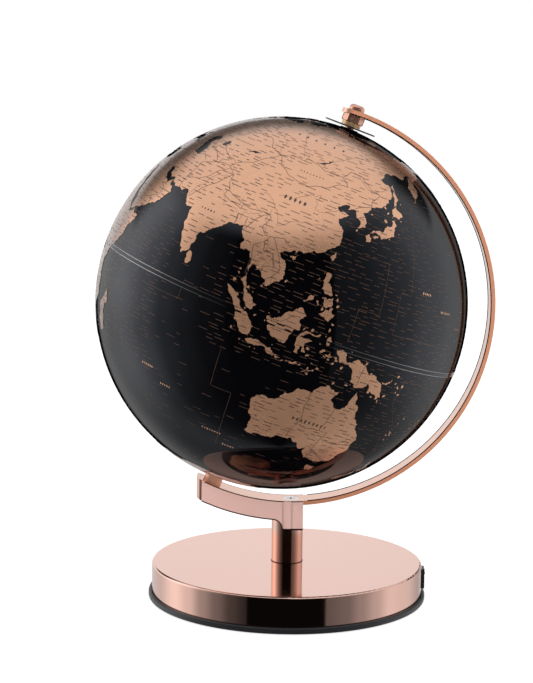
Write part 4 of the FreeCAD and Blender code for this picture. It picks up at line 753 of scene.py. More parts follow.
def broken_line(corners, closed, seed, longest=0.0012, swing=0.21):
    """Corner directions joined by a line that wanders like a coast or a river."""
    chance = random.Random(seed)
    ways = [outward(on_ball(*c)) for c in corners]
    reach = longest / ball_radius
    drawn = []
    for start, end in zip(ways, ways[1:] + ways[:1] if closed else ways[1:]):
        run = [start, end]
        while (run[1] - run[0]).length > reach:
            finer = [run[0]]
            for p, q in zip(run, run[1:]):
                sideways = (q - p).cross(p) * (chance.uniform(-1, 1) * swing)
                finer += [((p + q) / 2 + sideways).normalized(), q]
            run = finer
        drawn += run[:-1]
    if not closed:
        drawn.append(ways[-1])
    return drawn


spread = (3 - math.sqrt(5)) * math.pi
even_count = 11000
even_points = np.array([(math.sqrt(1 - z * z) * math.cos(spread * k), math.sqrt(1 - z * z) * math.sin(spread * k), z)
                        for k in range(even_count) for z in [1 - (2 * k + 1) / even_count]])


def printed_patch(name, outlines, high, deep, paint):
    """The printed areas inside those outlines as one thin mesh that follows the ball."""
    least_gap, pole_clear = 0.008, 0.9972
    points, faces = [], []
    for seed, corners in enumerate(outlines):
        edge = broken_line(corners, True, 7 + seed)
        middle = sum(edge, Vector()).normalized()
        if min(e.dot(middle) for e in edge) < -0.6:
            middle = Vector(edge[len(edge) // 2])
        side_a = middle.orthogonal().normalized()
        side_b = middle.cross(side_a)
        basis = np.array([side_a, side_b, middle])

        def flattened(ways):
            local = np.asarray(ways) @ basis.T
            turn = np.arccos(np.clip(local[:, 2], -1, 1))
            size = np.maximum(np.hypot(local[:, 0], local[:, 1]), 1e-12)
            return local[:, :2] * (turn / size)[:, None]

        rim = flattened(edge)
        inner = flattened(even_points)
        low, high_corner = rim.min(0), rim.max(0)
        inner = inner[np.all((inner > low) & (inner < high_corner), axis=1)]
        crossings = np.zeros(len(inner), int)
        near = np.full(len(inner), np.inf)
        for (x0, y0), (x1, y1) in zip(rim, np.roll(rim, -1, 0)):
            span = (y0 > inner[:, 1]) != (y1 > inner[:, 1])
            with np.errstate(divide="ignore", invalid="ignore"):
                cut = (x1 - x0) * (inner[:, 1] - y0) / (y1 - y0) + x0
            crossings += span & (inner[:, 0] < cut)
            near = np.minimum(near, np.hypot(inner[:, 0] - x0, inner[:, 1] - y0))
        inner = inner[(crossings % 2 == 1) & (near > least_gap)]
        flat = [Vector(p) for p in rim.tolist() + inner.tolist()]
        count = len(rim)
        made = delaunay_2d_cdt(flat, [(k, (k + 1) % count) for k in range(count)], [], 1, 1e-9)
        first = len(points)
        for p in made[0]:
            turn = p.length
            way = middle
            if turn >= 1e-9:
                way = middle * math.cos(turn) + (side_a * p.x + side_b * p.y) * (math.sin(turn) / turn)
            points.append(way)
        faces += [[first + k for k in f] for f in made[2]]
    # leave the two pole fittings clear
    faces = [f for f in faces if all(abs(points[k].dot(pole)) < pole_clear for k in f)]
    mesh = bpy.data.meshes.new(name)
    mesh.from_pydata([ball_middle + p * (ball_radius + high) for p in points], [], faces)
    skin = bmesh.new()
    skin.from_mesh(mesh)
    for face in skin.faces:
        if face.normal.dot(face.calc_center_median() - ball_middle) < 0:
            face.normal_flip()
    bmesh.ops.delete(skin, geom=[v for v in skin.verts if not v.link_faces], context="VERTS")
    rims = [e for e in skin.edges if len(e.link_faces) == 1]
    skirt = bmesh.ops.extrude_edge_only(skin, edges=rims)
    for v in (g for g in skirt["geom"] if isinstance(g, bmesh.types.BMVert)):
        v.co = ball_middle + outward(v.co) * (ball_radius + high - deep)
    for face in skin.faces:
        face.smooth = True
    skin.to_mesh(mesh)
    skin.free()
    mesh.normals_split_custom_set_from_vertices([outward(v.co) for v in mesh.vertices])
    mesh.materials.append(paint)
    placed(name, mesh, "globe")


copper_ink = finish("copper_map_ink", polish_group, (0.84, 0.46, 0.285), 0.27, metal=0.80, bump=0.10, bump_mm=0.05,
                    coat=0.6, coat_rough=0.05, Haze=0.14, Scratches=0.2, Waviness=0.8)
ink_tree = copper_ink.node_tree
# towards the ball's outline the ink colour is darkened to a third: painted shade along the limb
ink_tree.links.new(tinted(ink_tree, effect_of(copper_ink).outputs["Tone"], edge_on(ink_tree, 0.56, 0.72, 1.0, 0.34)),
                   ink_tree.nodes["Principled BSDF"].inputs["Base Color"])
faint_ink = finish("faint_map_ink", polish_group, (0.16, 0.085, 0.055), 0.42, metal=0.6, bump=0.05, bump_mm=0.03,
                   coat=0.5, coat_rough=0.06, Haze=0.2, Scratches=0.2, Waviness=0.6)
# loose islets off the broken coasts, a millimetre or two across
islet_chance = random.Random(77)
islets = []
island_seas = [(95, -11, 160, 20, 260), (126, 24, 155, 50, 50), (-5, 55, 30, 70, 30), (60, 70, 160, 80, 40),
               (-125, 62, -60, 80, 70), (-80, -55, -70, -42, 30), (-85, 10, -60, 27, 40), (150, -25, 182, -5, 50),
               (18, 34, 30, 41, 24), (68, -8, 74, 12, 16), (-178, 51, -160, 56, 14), (-135, 48, -123, 58, 20)]
off_east, off_north = 1.9, 1.7
for west, south, east, north, number in island_seas:
    for k in range(number):
        x, y, size = islet_chance.uniform(west, east), islet_chance.uniform(south, north), islet_chance.uniform(0.16, 0.62)
        narrowing = math.cos(math.radians(y))
        if any(abs(x - cx) < off_east / narrowing and abs(y - cy) < off_north for shape in coasts.values() for cx, cy in shape):
            lean = islet_chance.uniform(0, math.pi)
            long, wide = size, size * islet_chance.uniform(0.4, 0.8)
            islets.append([(x + (long * math.cos(t) * math.cos(lean) - wide * math.sin(t) * math.sin(lean)) / narrowing,
                            y + long * math.cos(t) * math.sin(lean) + wide * math.sin(t) * math.cos(lean))
                           for t in (0, 1.1, 2.0, 3.3, 4.2, 5.3)])
printed_patch("map_land", list(coasts.values()) + islets, land_high, 0.19 * MM, copper_ink)

# ------------------------------------------------- lakes and inland seas
# Left unprinted, so the black shows: here a gloss black print of its own.
lakes = [
    [(47,45),(49,46.4),(51,47),(53,45.3),(51,44),(53.5,41),(53.8,37.2),(50,37.5),(49.2,40.3),(47.5,43)],
    [(58.5,45),(60,46.5),(61,46.2),(61,44),(59,43.7)], [(73.7,45.3),(76,46.7),(79,46.8),(75,45.8)],
    [(103.8,51.5),(106,52.8),(108,53.2),(109.8,55.7),(109.2,53.8),(106.5,52)], [(76.2,42.4),(78.2,42.7),(77.4,42.2)],
    [(31.7,-0.5),(34,0.3),(33.5,-2.4),(32,-2.5)], [(29.3,-3.5),(29.8,-5.5),(31,-8.6),(29.9,-6)],
    [(34,-10),(34.8,-13.8),(34.2,-12)], [(-92,46.8),(-88,48.7),(-84.7,46.5),(-87.5,46.6)],
    [(-87.5,42),(-86.3,42.4),(-85,45.8),(-87.5,44.8)], [(-84.5,45.8),(-80.5,45.6),(-81.5,43.4),(-83.4,44)],
    [(-83,41.8),(-79,42.8),(-81.5,41.6)], [(-79.6,43.3),(-76.4,44),(-76.6,43.4)], [(-125,66),(-119,66.8),(-121,65)],
    [(-117,61),(-110,62.7),(-114,60.9)], [(-99,53.8),(-96.5,51),(-98.5,51.5)], [(31,60.5),(32.5,61.5),(31,61.6),(30.4,61)],
    [(34.5,61.4),(36.3,61.2),(35.4,62.6)], [(13,58.5),(14,59.2),(13.3,59.2)], [(-60.5,9.8),(-60,9.9),(-60.2,10.2)],
    [(-70,-15.5),(-68.8,-16.4),(-69.6,-16.3)],
]
printed_patch("map_lakes", lakes, lake_high, 0.03 * MM, lacquer)

# ---------------------------------------------- borders, rivers and zones
# Fine printed lines: dark brown borders and rivers on the land, and thin
# copper lines at sea where the time zones change.
borders = [
    [(47,46.5),(46.5,48.5),(48,50),(55,51),(60.5,50.8),(61.5,53.5),(69,55.3),(76,54.2),(80,50.8),(87.3,49.1)],
    [(87.3,49.1),(85.5,47),(82.5,45.2),(80.2,42.2),(74.5,40),(73.5,38),(74.5,37.3)],
    [(87.3,49.1),(92,50.7),(98,50.5),(98.3,52),(102,51.4),(108,49.6),(116.7,49.8),(120,53.3),(126,52.8),(130.5,48.9),
        (134.7,48.3),(131,45),(130.6,42.5)],
    [(87.3,49.1),(91,45.2),(96,42.8),(105,41.6),(111.5,43.5),(116,46.5),(119.8,46.7),(116.7,49.8)],
    [(130.6,42.5),(126.5,41.5),(124.3,40)], [(126.6,37.8),(128.4,38.6)],
    [(108,21.5),(105.3,23.3),(102.2,22.4),(99.5,22),(97.5,24),(98.7,27.5),(97.3,28.3),(92,27.8),(88.8,28),(81,30.3),
        (78.8,32.5),(77.8,35.5),(74.5,37.3)],
    [(80,30.2),(80.2,28.7),(84,27.4),(88.1,26.5),(88.2,27.9)], [(68.2,23.7),(71,27.8),(74.5,31),(75.3,32.5),(77.8,35.5)],
    [(89,21.9),(88.5,25),(92,25.1),(92.2,22)], [(97.3,28.3),(94.5,25.5),(93,22),(92.3,21)],
    [(98.6,10),(98.7,15),(97.5,18.5),(100.2,20.3),(101.1,22)],
    [(100.2,20.3),(101,17.7),(104,18),(105.5,14.5),(102.5,13.7),(102.9,11.7)],
    [(102.2,22.4),(104,20.2),(106.7,16.5),(107.6,14.5),(106,11.6),(104.5,10.4)], [(105.5,14.5),(107.6,14.5)],
    [(100.2,6.6),(102,6.2)], [(61.6,25.2),(61,29.5),(61,35.5),(66.5,37.3),(71,38),(73.5,38)],
    [(61,29.5),(66.3,29.9),(69.5,32),(71.3,35),(74.5,37.3)], [(48,30),(46,33.3),(44.8,37.2),(44,39.8),(46.5,39),(48.8,38.5)],
    [(53.8,37.3),(57.5,38),(61,36.5)], [(35,29.4),(39,32),(44.7,29.2),(48.4,28.6)],
    [(43,16.5),(48,18),(52,19),(55,20),(55.4,22.6),(51.6,24)], [(52,19),(53,16.6)], [(36,36.2),(42.3,37.1),(44.8,37.2)],
    [(42.3,37.1),(38.8,33.4),(35.8,33)], [(53,45.3),(56,41.3),(58.5,43.5)], [(61,44),(66,42),(69,41),(73.5,40)],
    [(56,41.3),(60.5,41.2),(66.5,37.4)], [(69,41),(70.5,39.5),(67.5,39),(68,37.2)], [(41.5,41.5),(44,41.2),(48.5,41.9)],
    [(28,59.5),(27.5,57.5),(31,55),(31.8,52),(36,50.3),(39.8,48),(38.3,47.2)], [(30,61),(31.5,63),(29,69.5)],
    [(24,65.8),(20.6,69),(12,63),(11.3,59)], [(19,54.4),(23.5,54),(23.6,51.5),(22.5,49),(16,50),(14.8,51),(14.2,54)],
    [(16,50),(13,48.5),(10,47.5),(7.5,47.6),(6,49.5),(3,51.2)],
    [(7.5,43.8),(6.8,46),(10,47),(13.7,46.5),(16.5,46.7),(22.5,48),(28,45.3)], [(19.4,41.8),(21,42.5),(23,41.4),(26.3,41.8)],
    [(-1.8,43.3),(3.1,42.5)], [(-8.8,41.9),(-6.5,41.5),(-7.3,37.3)], [(25,31.6),(25,22),(36.8,22)],
    [(25,22),(24,19.5),(24,15),(22.5,11),(27.5,4.8),(31,3.7),(34,4.2),(36,4.4),(42,4),(45,8),(48,8)],
    [(24,19.5),(15,23),(12,23.5),(9.5,30),(9,33),(8.5,36.9)],
    [(12,23.5),(4.3,19.2),(-4.8,25),(-8.7,27.6),(-8.7,28.8),(-1.5,32.5),(-2,35)],
    [(4.3,19.2),(4,13.5),(13.5,13.7),(14,10),(15,7.5),(8.5,4.8)], [(15,7.5),(19,4.5),(27.5,4.8)],
    [(34,4.2),(34,-1),(37.7,-3),(39.3,-4.7)], [(29.5,-4.5),(30.7,-8.3),(34.5,-11.5),(40.4,-10.5)],
    [(12.3,-6.1),(17,-8),(22,-11),(24,-11),(24,-16),(33,-14),(34.5,-16.5),(32.7,-19),(31.2,-22.3),(32,-26.8)],
    [(11.8,-17.3),(21,-17.9),(25,-17.8),(29,-22),(25.5,-25.7),(20,-26.8),(20,-22),(21,-18)],
    [(16.5,-28.6),(20,-28.5),(20,-24.8)], [(-5,35),(-1.5,32.5)], [(-4,10),(-11,12.3),(-12,15),(-16.5,16)],
    [(0,5.8),(0,11),(-5,15.5),(-5.5,25)], [(129,-14.9),(129,-31.7)], [(138,-16.6),(138,-26),(141,-26),(141,-38)],
    [(129,-26),(138,-26)], [(141,-29),(149,-29),(153.5,-28.2)], [(141,-34),(145,-36),(150,-37.4)], [(141,-2.6),(141,-9.1)],
    [(109.6,2),(110.5,0.9),(113,1.3),(115.5,4),(117.8,4.2)],
    [(-123,49),(-110,49),(-95,49),(-89,48),(-83,46),(-82.5,42.5),(-79,43.3),(-75,45),(-71,45.2),(-68,47.3),(-67,45)],
    [(-117,32.5),(-111,31.3),(-106.5,31.8),(-103,29),(-99.5,27),(-97.3,25.9)], [(-141,60),(-141,69.6)],
    [(-124,42),(-111,42),(-111,49)], [(-111,42),(-104,41),(-104,49)], [(-109,31.4),(-109,41)],
    [(-103,37),(-94.5,36.5),(-94,33),(-94,29.7)], [(-89.5,36.5),(-75.8,36.5)], [(-96,49),(-96,43.5),(-91,43.5),(-91,36.5)],
    [(-120,60),(-102,60),(-95,60)], [(-110,60),(-110,49)], [(-102,60),(-101.5,49)], [(-92,14.5),(-91,17.8),(-89,17.9)],
    [(-51.7,4),(-56,2),(-60,5),(-64,2.5),(-67,1.5),(-70,-4.2),(-73.5,-7.5),(-70.6,-11),(-65,-10.5),(-60,-14),(-58,-20),
        (-54.5,-24),(-53.8,-27.2),(-57.6,-30.2),(-53.5,-33.6)],
    [(-67.8,-22.8),(-70,-31),(-71.5,-40),(-72,-50)], [(-70.3,-18),(-67.8,-22.8),(-62.5,-22.2),(-58,-20)],
    [(-70,-4.2),(-75,0),(-79,1.3)], [(-67,1.5),(-67.5,6),(-72,7.5),(-71.5,11.5)], [(-69,-17.5),(-70.6,-11)],
]
rivers = [
    [(121.5,31.6),(117,30.8),(112,30),(106,29.4),(101,26),(98,31),(92,34)],
    [(118.8,37.7),(114,35),(110.5,35.2),(110.8,40.3),(106.5,39),(102,35.5),(97,35)],
    [(106.6,10),(105.5,14),(104.5,17),(101.5,18.5),(100,22),(97.5,30)], [(89.5,22.5),(88,25),(82,25.5),(79,29.5)],
    [(68,24.3),(70.5,29),(72,33.5),(76,34.5),(81,32)], [(89.8,23.5),(90,26.2),(95.3,28),(92,29.3),(84,29.5)],
    [(69,66.5),(66,62),(69,59),(77,60),(84,55),(86,50)], [(82.5,71),(86.5,67),(88,61.5),(93,56.5),(97,52)],
    [(127,72),(124,66.5),(129.5,62),(119,59.8),(108,54.2)], [(141,53),(137,50.5),(131,47.8),(127.5,50),(121,53.4)],
    [(51,46.5),(46,48.5),(46,51),(49,54.5),(43.5,56.4),(34,57)],
    [(31.2,31.3),(31,27),(32.8,24),(31,20),(33.5,17.5),(32.5,13),(31.5,8),(31.5,3)],
    [(12.5,-6),(17,-1),(22,2),(26,0),(26.5,-8)], [(-50.5,-0.5),(-56,-2.2),(-64,-3.5),(-70,-4),(-75,-5)],
    [(-89.5,29.5),(-91,33),(-89.5,37),(-91,41.5),(-94.5,46.5)], [(-90.3,38.8),(-97,42.8),(-104,47.8),(-110.5,47.5)],
    [(139.3,-35.5),(142,-34),(147,-36)], [(143.5,-33.5),(146,-30.5),(150,-27)], [(5,5),(6.5,9),(0,16.5),(-5,14),(-9,10.5)],
    [(36,-18.7),(31,-16),(26,-17.9),(23,-13)], [(-135,68.8),(-129,65),(-121,61.5)],
    [(-58.4,-33.8),(-59,-27.5),(-54.5,-24.5),(-49,-19.5)], [(29.5,45.2),(23,43.8),(19,46.5),(12,48.7),(9,48)],
]
zones = [
    [(180,66),(191,65.6),(170,53),(180,48),(180,-5),(187,-14),(187,-45),(180,-52),(180,-62)],
    [(150,46),(150,20),(146,20),(146,8),(166,8),(166,-4),(157,-4),(157,-11),(166,-21),(166,-32),(158,-32),(158,-52)],
    [(131,27),(140,27),(140,12),(133,12),(133,2)], [(142.5,-45),(142.5,-60)], [(100,-12),(100,-24),(107,-24),(107,-45)],
    [(82.5,2),(82.5,-4),(67.5,-4),(67.5,-26),(75,-26),(75,-48)],
    [(67.5,18),(62,18),(62,4),(52.5,4),(52.5,-8),(58,-8),(58,-30),(52.5,-30),(52.5,-55)],
    [(-140,50),(-140,20),(-150,20),(-150,-5),(-142,-5),(-142,-30),(-135,-30),(-135,-55)],
    [(-112,18),(-112,-30),(-100,-30),(-100,-55)],
    [(-30,60),(-30,42),(-22,42),(-22,12),(-37,5),(-30,-12),(-37,-30),(-30,-55)], [(-10,55),(-14,30),(-20,28)],
    [(-7,0),(-7,-50)],
]


def printed_lines(name, runs, width, high, swing, seed, paint):
    """Each run of corners as a thin flat ribbon that lies on the ball."""
    points, faces = [], []
    for number, corners in enumerate(runs):
        way = broken_line(corners, False, seed + number, 0.0018, swing)
        first = len(points)
        for k, p in enumerate(way):
            ahead = (way[min(k + 1, len(way) - 1)] - way[max(k - 1, 0)]).normalized()
            side = ahead.cross(p).normalized() * (width / 2 / ball_radius)
            points += [(p + side).normalized(), (p - side).normalized()]
        faces += [(first + 2 * k, first + 2 * k + 2, first + 2 * k + 3, first + 2 * k + 1) for k in range(len(way) - 1)]
    mesh = bpy.data.meshes.new(name)
    mesh.from_pydata([ball_middle + p * (ball_radius + high) for p in points], [], faces)
    for face in mesh.polygons:
        face.use_smooth = True
    if mesh.polygons[0].normal.dot(mesh.polygons[0].center - ball_middle) < 0:
        mesh.flip_normals()
    mesh.normals_split_custom_set_from_vertices([outward(v.co) for v in mesh.vertices])
    mesh.materials.append(paint)
    placed(name, mesh, "globe")


brown_ink = finish("brown_map_ink", polish_group, (0.045, 0.022, 0.015), 0.40, bump=0.05, bump_mm=0.03,
                   coat=0.5, coat_rough=0.06, Haze=0.3, Scratches=0.2, Waviness=0.6)
printed_lines("map_borders", borders, 0.30 * MM, line_high, 0.07, 60, brown_ink)
printed_lines("map_rivers", rivers, 0.16 * MM, line_high, 0.16, 400, brown_ink)
printed_lines("map_zones", zones, 0.16 * MM, 0.05 * MM, 0.0, 800, faint_ink)

# --------------------------------------------------------- place names
# The names on the map are only rows of small marks here, with no letters:
# short dark rows on land, copper rows at sea, and a few wide bold ones.
chance = random.Random(2024)
word_tree, word_in, word_out = tree_with("rows_of_marks", [
    ("Sides", "NodeSocketInt"), ("Mark Size", "NodeSocketFloat"), ("Finish", "NodeSocketMaterial")])
blot = word_tree.nodes.new("GeometryNodeMeshCircle")
blot.fill_type = "NGON"
fed(word_tree, blot, word_in, Vertices="Sides", Radius="Mark Size")
asked = {}
for label in ("turn", "stretch"):
    reader = word_tree.nodes.new("GeometryNodeInputNamedAttribute")
    reader.data_type = "FLOAT_VECTOR"
    reader.inputs["Name"].default_value = label
    asked[label] = next(s for s in reader.outputs if s.enabled and s.name == "Attribute")
as_turn = word_tree.nodes.new("FunctionNodeEulerToRotation")
word_tree.links.new(asked["turn"], as_turn.inputs[0])
word_set = word_tree.nodes.new("GeometryNodeInstanceOnPoints")
fed(word_tree, word_set, word_in, Points="Geometry")
word_tree.links.new(blot.outputs[0], word_set.inputs["Instance"])
word_tree.links.new(as_turn.outputs[0], word_set.inputs["Rotation"])
word_tree.links.new(asked["stretch"], word_set.inputs["Scale"])
ends_with(word_tree, word_set.outputs[0], word_in, word_out)


def inside(longitude, latitude, outline):
    """Whether the place lies within the outline: it crosses an odd number of sides."""
    hit = False
    for (x0, y0), (x1, y1) in zip(outline, outline[1:] + outline[:1]):
        if (y0 > latitude) != (y1 > latitude) and longitude < (x1 - x0) * (latitude - y0) / (y1 - y0) + x0:
            hit = not hit
    return hit


def on_land(longitude, latitude):
    turns = (longitude, longitude - 360, longitude + 360)
    return any(inside(x, latitude, shape) for shape in coasts.values() for x in turns)


def row_of_marks(longitude, latitude, count, pitch, wide, tall, high):
    """Marks side by side along a parallel: (place, turn, stretch) for each; sizes in mm."""
    marks = []
    per_mm = math.degrees(MM / (ball_radius * max(0.15, math.cos(math.radians(latitude)))))
    for k in range(count):
        here = longitude + (k - (count - 1) / 2) * pitch * per_mm
        place = on_ball(here, latitude, high)
        out = outward(place)
        east = pole.cross(out).normalized()
        turn = Matrix((east, out.cross(east), out)).transposed().to_euler("XYZ")
        marks.append((place, tuple(turn), (wide * chance.uniform(0.75, 1.15), tall * chance.uniform(0.8, 1.2), 1.0)))
    return marks


def printed_words(name, marks, paint):
    seeds = bpy.data.meshes.new(name + "_seeds")
    seeds.from_pydata([m[0] for m in marks], [], [])
    for label, column in (("turn", 1), ("stretch", 2)):
        values = seeds.attributes.new(label, "FLOAT_VECTOR", "POINT")
        values.data.foreach_set("vector", [v for m in marks for v in m[column]])
    grown(name, word_tree, seeds, "globe", "globe_lacquer", Sides=6, Mark_Size=0.5 * MM, Finish=paint)


land_marks, sea_marks, taken = [], [], []
mm_per_degree, sea_high = 2.18, 0.05 * MM
bold_words = [
    (103, 35.5, 5, 3.2, 1.7, 3.0), (133.5, -24.5, 9, 2.8, 1.4, 2.8), (98, 62, 6, 6.2, 1.5, 2.8), (78.5, 22.5, 5, 2.4, 1.0, 1.5),
    (66.5, 48.3, 8, 2.3, 0.9, 1.4), (104, 46.3, 8, 2.1, 0.8, 1.2), (-100, 40, 6, 3.4, 1.2, 1.8), (-103, 56, 6, 4.0, 1.2, 1.8),
    (-54, -9, 6, 3.6, 1.2, 1.8), (17, 22, 6, 4.0, 1.2, 1.8), (24, -3, 5, 3.0, 1.0, 1.5), (15, 50, 6, 2.4, 0.9, 1.3),
    (45, 24, 7, 2.3, 0.9, 1.3), (-42, 73, 9, 1.6, 0.9, 1.3)]
for lon, lat, count, pitch, wide, tall in bold_words:
    land_marks += row_of_marks(lon, lat, count, pitch, wide, tall, word_high)
    taken.append((lon, lat, 0.55 * count * pitch / mm_per_degree / math.cos(math.radians(lat)) + 2, 1.6))
busy_seas = [(92, -12, 168, 30), (120, 24, 160, 52), (-6, 30, 40, 46), (-95, 8, -58, 30), (150, -30, 185, 10),
             (40, -26, 75, 14), (-12, 48, 32, 66), (-175, -25, -140, 2)]
tries, small_pitch, row_room, skipped_at_sea = 17000, 0.46, 0.42, 0.93
for attempt in range(tries):
    lon = chance.uniform(-180, 180)
    lat = math.degrees(math.asin(chance.uniform(-0.86, 0.95)))
    count = chance.randint(6, 15)
    half = 0.5 * count * small_pitch / mm_per_degree / math.cos(math.radians(lat))
    if any(abs(lat - y) < row_room + h and min(abs(lon - x), 360 - abs(lon - x)) < half + w for x, y, w, h in taken):
        continue
    spots = [on_land(lon + half * t, lat) for t in (-1, 0, 1)]
    if all(spots):
        land_marks += row_of_marks(lon, lat, count, small_pitch, 0.44, 0.62, word_high)
    elif not any(spots):
        busy = any(w < x < e and so < lat < n for w, so, e, n in busy_seas for x in (lon, lon + 360))
        if not busy and chance.random() < skipped_at_sea:
            continue
        sea_marks += row_of_marks(lon, lat, count, small_pitch, 0.40, 0.42, sea_high)
    else:
        continue
    taken.append((lon, lat, half + 0.3, row_room))
ocean_marks = []
for lon, lat, count, pitch in ((76, -27, 6, 1.7), (84, -31, 5, 1.7), (157, 22, 5, 1.7), (168, 18, 7, 1.8), (178, 14, 5, 1.7),
                               (104, -40, 8, 1.7), (112, -44, 5, 1.7), (-150, 30, 5, 1.7), (-140, 26, 7, 1.8), (-128, -28, 5, 1.7),
                               (-118, -32, 7, 1.8), (-44, 34, 5, 1.7), (-38, 29, 8, 1.8), (-18, -22, 5, 1.7), (-12, -27, 8, 1.8)):
    ocean_marks += row_of_marks(lon, lat, count, pitch, 0.85, 1.7, sea_high)
printed_words("map_land_words", land_marks, brown_ink)
printed_words("map_sea_words", sea_marks, faint_ink)
printed_words("map_ocean_words", ocean_marks, copper_ink)

# --------------------------------------------------------- equator seam
# The two shells meet under a narrow tape. Its raised edges are two thin
# gloss lines round the ball, with short dashes that step from one to the
# other like the scale bar round a map.
seam_tape = finish("seam_tape", polish_group, (0.0013, 0.0013, 0.0017), 0.05, bump=0.05, bump_mm=0.04,
                   Haze=0.03, Scratches=0.3, Waviness=0.9)
painted(seam_tape, "equator_tape")
bead_tree, bead_in, bead_out = tree_with("bead_round_a_ring", [
    ("Ring Radius", "NodeSocketFloat"), ("Bead Radius", "NodeSocketFloat"), ("Along", "NodeSocketInt"),
    ("Around", "NodeSocketInt"), ("Finish", "NodeSocketMaterial")])
ring_line = bead_tree.nodes.new("GeometryNodeCurvePrimitiveCircle")
bead_line = bead_tree.nodes.new("GeometryNodeCurvePrimitiveCircle")
fed(bead_tree, ring_line, bead_in, Radius="Ring Radius", Resolution="Along")
fed(bead_tree, bead_line, bead_in, Radius="Bead Radius", Resolution="Around")
bead_sweep = bead_tree.nodes.new("GeometryNodeCurveToMesh")
bead_tree.links.new(ring_line.outputs[0], bead_sweep.inputs["Curve"])
bead_tree.links.new(bead_line.outputs[0], bead_sweep.inputs["Profile Curve"])
ends_with(bead_tree, bead_sweep.outputs[0], bead_in, bead_out)
mark_tree, mark_in, mark_out = tree_with("marks_round_a_ring", [
    ("Count", "NodeSocketInt"), ("Ring Radius", "NodeSocketFloat"), ("Mark Size", "NodeSocketVector"),
    ("Finish", "NodeSocketMaterial")])
mark_points = mark_tree.nodes.new("GeometryNodeMeshCircle")
fed(mark_tree, mark_points, mark_in, Vertices="Count", Radius="Ring Radius")
mark_number = mark_tree.nodes.new("GeometryNodeInputIndex")
mark_angle = sum_node(mark_tree, "DIVIDE", sum_node(mark_tree, "MULTIPLY", mark_number.outputs[0], math.tau),
                      mark_in.outputs["Count"])
mark_turn = mark_tree.nodes.new("ShaderNodeCombineXYZ")
mark_tree.links.new(mark_angle, mark_turn.inputs[2])
mark_block = mark_tree.nodes.new("GeometryNodeMeshCube")
fed(mark_tree, mark_block, mark_in, Size="Mark Size")
mark_as_turn = mark_tree.nodes.new("FunctionNodeEulerToRotation")
mark_tree.links.new(mark_turn.outputs[0], mark_as_turn.inputs[0])
mark_set = mark_tree.nodes.new("GeometryNodeInstanceOnPoints")
mark_tree.links.new(mark_points.outputs[0], mark_set.inputs["Points"])
mark_tree.links.new(mark_block.outputs[0], mark_set.inputs["Instance"])
mark_tree.links.new(mark_as_turn.outputs[0], mark_set.inputs["Rotation"])
ends_with(mark_tree, mark_set.outputs[0], mark_in, mark_out)


def across_the_axis(along_axis, turn=0.0):
    """Puts something made flat round its own Z at that height on the ball's axis."""
    frame_there = Matrix((ball_front, pole.cross(ball_front), pole)).transposed().to_4x4()
    return Matrix.Translation(ball_middle + pole * along_axis) @ frame_there @ Matrix.Rotation(turn, 4, "Z")


tape_half, seam_radius = 1.35 * MM, ball_radius + 0.19 * MM
cut_edge = finish("tape_cut_edge", polish_group, (0.46, 0.46, 0.49), 0.16, metal=1.0, bump=0.1, bump_mm=0.03,
                  Haze=0.3, Scratches=0.3, Waviness=0.9)
edge_radius, edge_half, around, dash_count = ball_radius + 0.25 * MM, 0.14 * MM, 480, 72
for side, height, dash_turn in (("north", tape_half, 0.0), ("south", -tape_half, math.pi / dash_count)):
    edge_mesh = bpy.data.meshes.new(f"seam_edge_{side}")
    edge_mesh.from_pydata([(edge_radius * math.cos(math.tau * k / around), edge_radius * math.sin(math.tau * k / around), z)
                           for k in range(around) for z in (height - edge_half, height + edge_half)], [],
                          [(2 * k, (2 * k + 2) % (2 * around), (2 * k + 3) % (2 * around), 2 * k + 1) for k in range(around)])
    edge_mesh.transform(across_the_axis(0.0))
    for face in edge_mesh.polygons:
        face.use_smooth = True
    edge_mesh.materials.append(cut_edge)
    placed(f"seam_edge_{side}", edge_mesh, "globe")
    grown(f"seam_dashes_{side}", mark_tree, bpy.data.meshes.new("dash_seed"), "globe", "seam_tape",
          across_the_axis(height * 0.62, dash_turn),
          Count=dash_count, Ring_Radius=seam_radius, Mark_Size=(0.10 * MM, 4.6 * MM, 0.7 * MM), Finish=seam_tape)

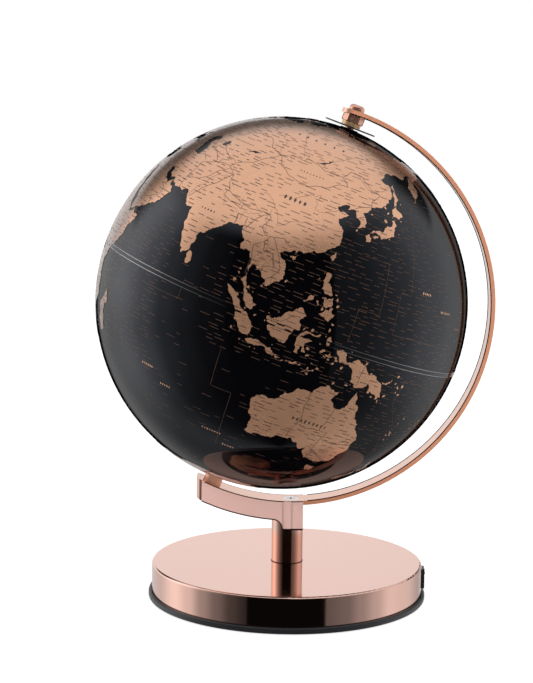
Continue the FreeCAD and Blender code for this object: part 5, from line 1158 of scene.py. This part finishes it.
# ------------------------------------------------------------ hour dial
# A black plastic disc under the cap, turned by hand on the brass spacer. Its
# upper face has a copper ring of hours, 1 to 24, with a tick at each one.
dial_plastic = finish("dial_plastic", grain_group, (0.018, 0.018, 0.019), 0.24, bump=0.15, bump_mm=0.02,
                      Grain_Scale=3000.0, Cloud=0.3)
painted(dial_plastic, "hour_dial")
dial_ink = finish("dial_copper_ink", grain_group, (0.78, 0.43, 0.28), 0.35, metal=0.6, bump=0.1, bump_mm=0.02,
                  Grain_Scale=2600.0, Cloud=0.2)
dial_top, print_lift = 126.9 * MM, 0.01 * MM
for ticks, count, radius, size in (("hour", 24, 15.9 * MM, (1.7 * MM, 0.32 * MM, 0.06 * MM)),
                                   ("part", 96, 16.4 * MM, (0.8 * MM, 0.18 * MM, 0.05 * MM))):
    grown(f"dial_{ticks}_ticks", mark_tree, bpy.data.meshes.new(ticks + "_seed"), "hour_dial", "dial_plastic",
          across_the_axis(dial_top + print_lift), Count=count, Ring_Radius=radius, Mark_Size=size, Finish=dial_ink)
grown("dial_ring_line", bead_tree, bpy.data.meshes.new("line_seed"), "hour_dial", "dial_plastic", across_the_axis(dial_top),
      Ring_Radius=9.6 * MM, Bead_Radius=0.06 * MM, Along=96, Around=6, Finish=dial_ink)
numbers, number_ring = bmesh.new(), 12.9 * MM
for hour in range(1, 25):
    figure = bpy.data.curves.new("figure", "FONT")
    figure.body = str(hour)
    figure.size = 3.1 * MM
    figure.align_x = "CENTER"
    figure.align_y = "CENTER"
    figure.extrude = 0.03 * MM
    cut = made_solid("figure", bpy.data.objects.new("figure", figure))
    cut.transform(across_the_axis(dial_top + print_lift) @ Matrix.Rotation(math.tau * hour / 24, 4, "Z")
                  @ Matrix.Translation((number_ring, 0, 0)) @ Matrix.Rotation(-math.pi / 2, 4, "Z"))
    numbers.from_mesh(cut)
number_mesh = bpy.data.meshes.new("dial_numbers")
numbers.to_mesh(number_mesh)
numbers.free()
number_mesh.materials.append(dial_ink)
placed("dial_numbers", number_mesh, "hour_dial")
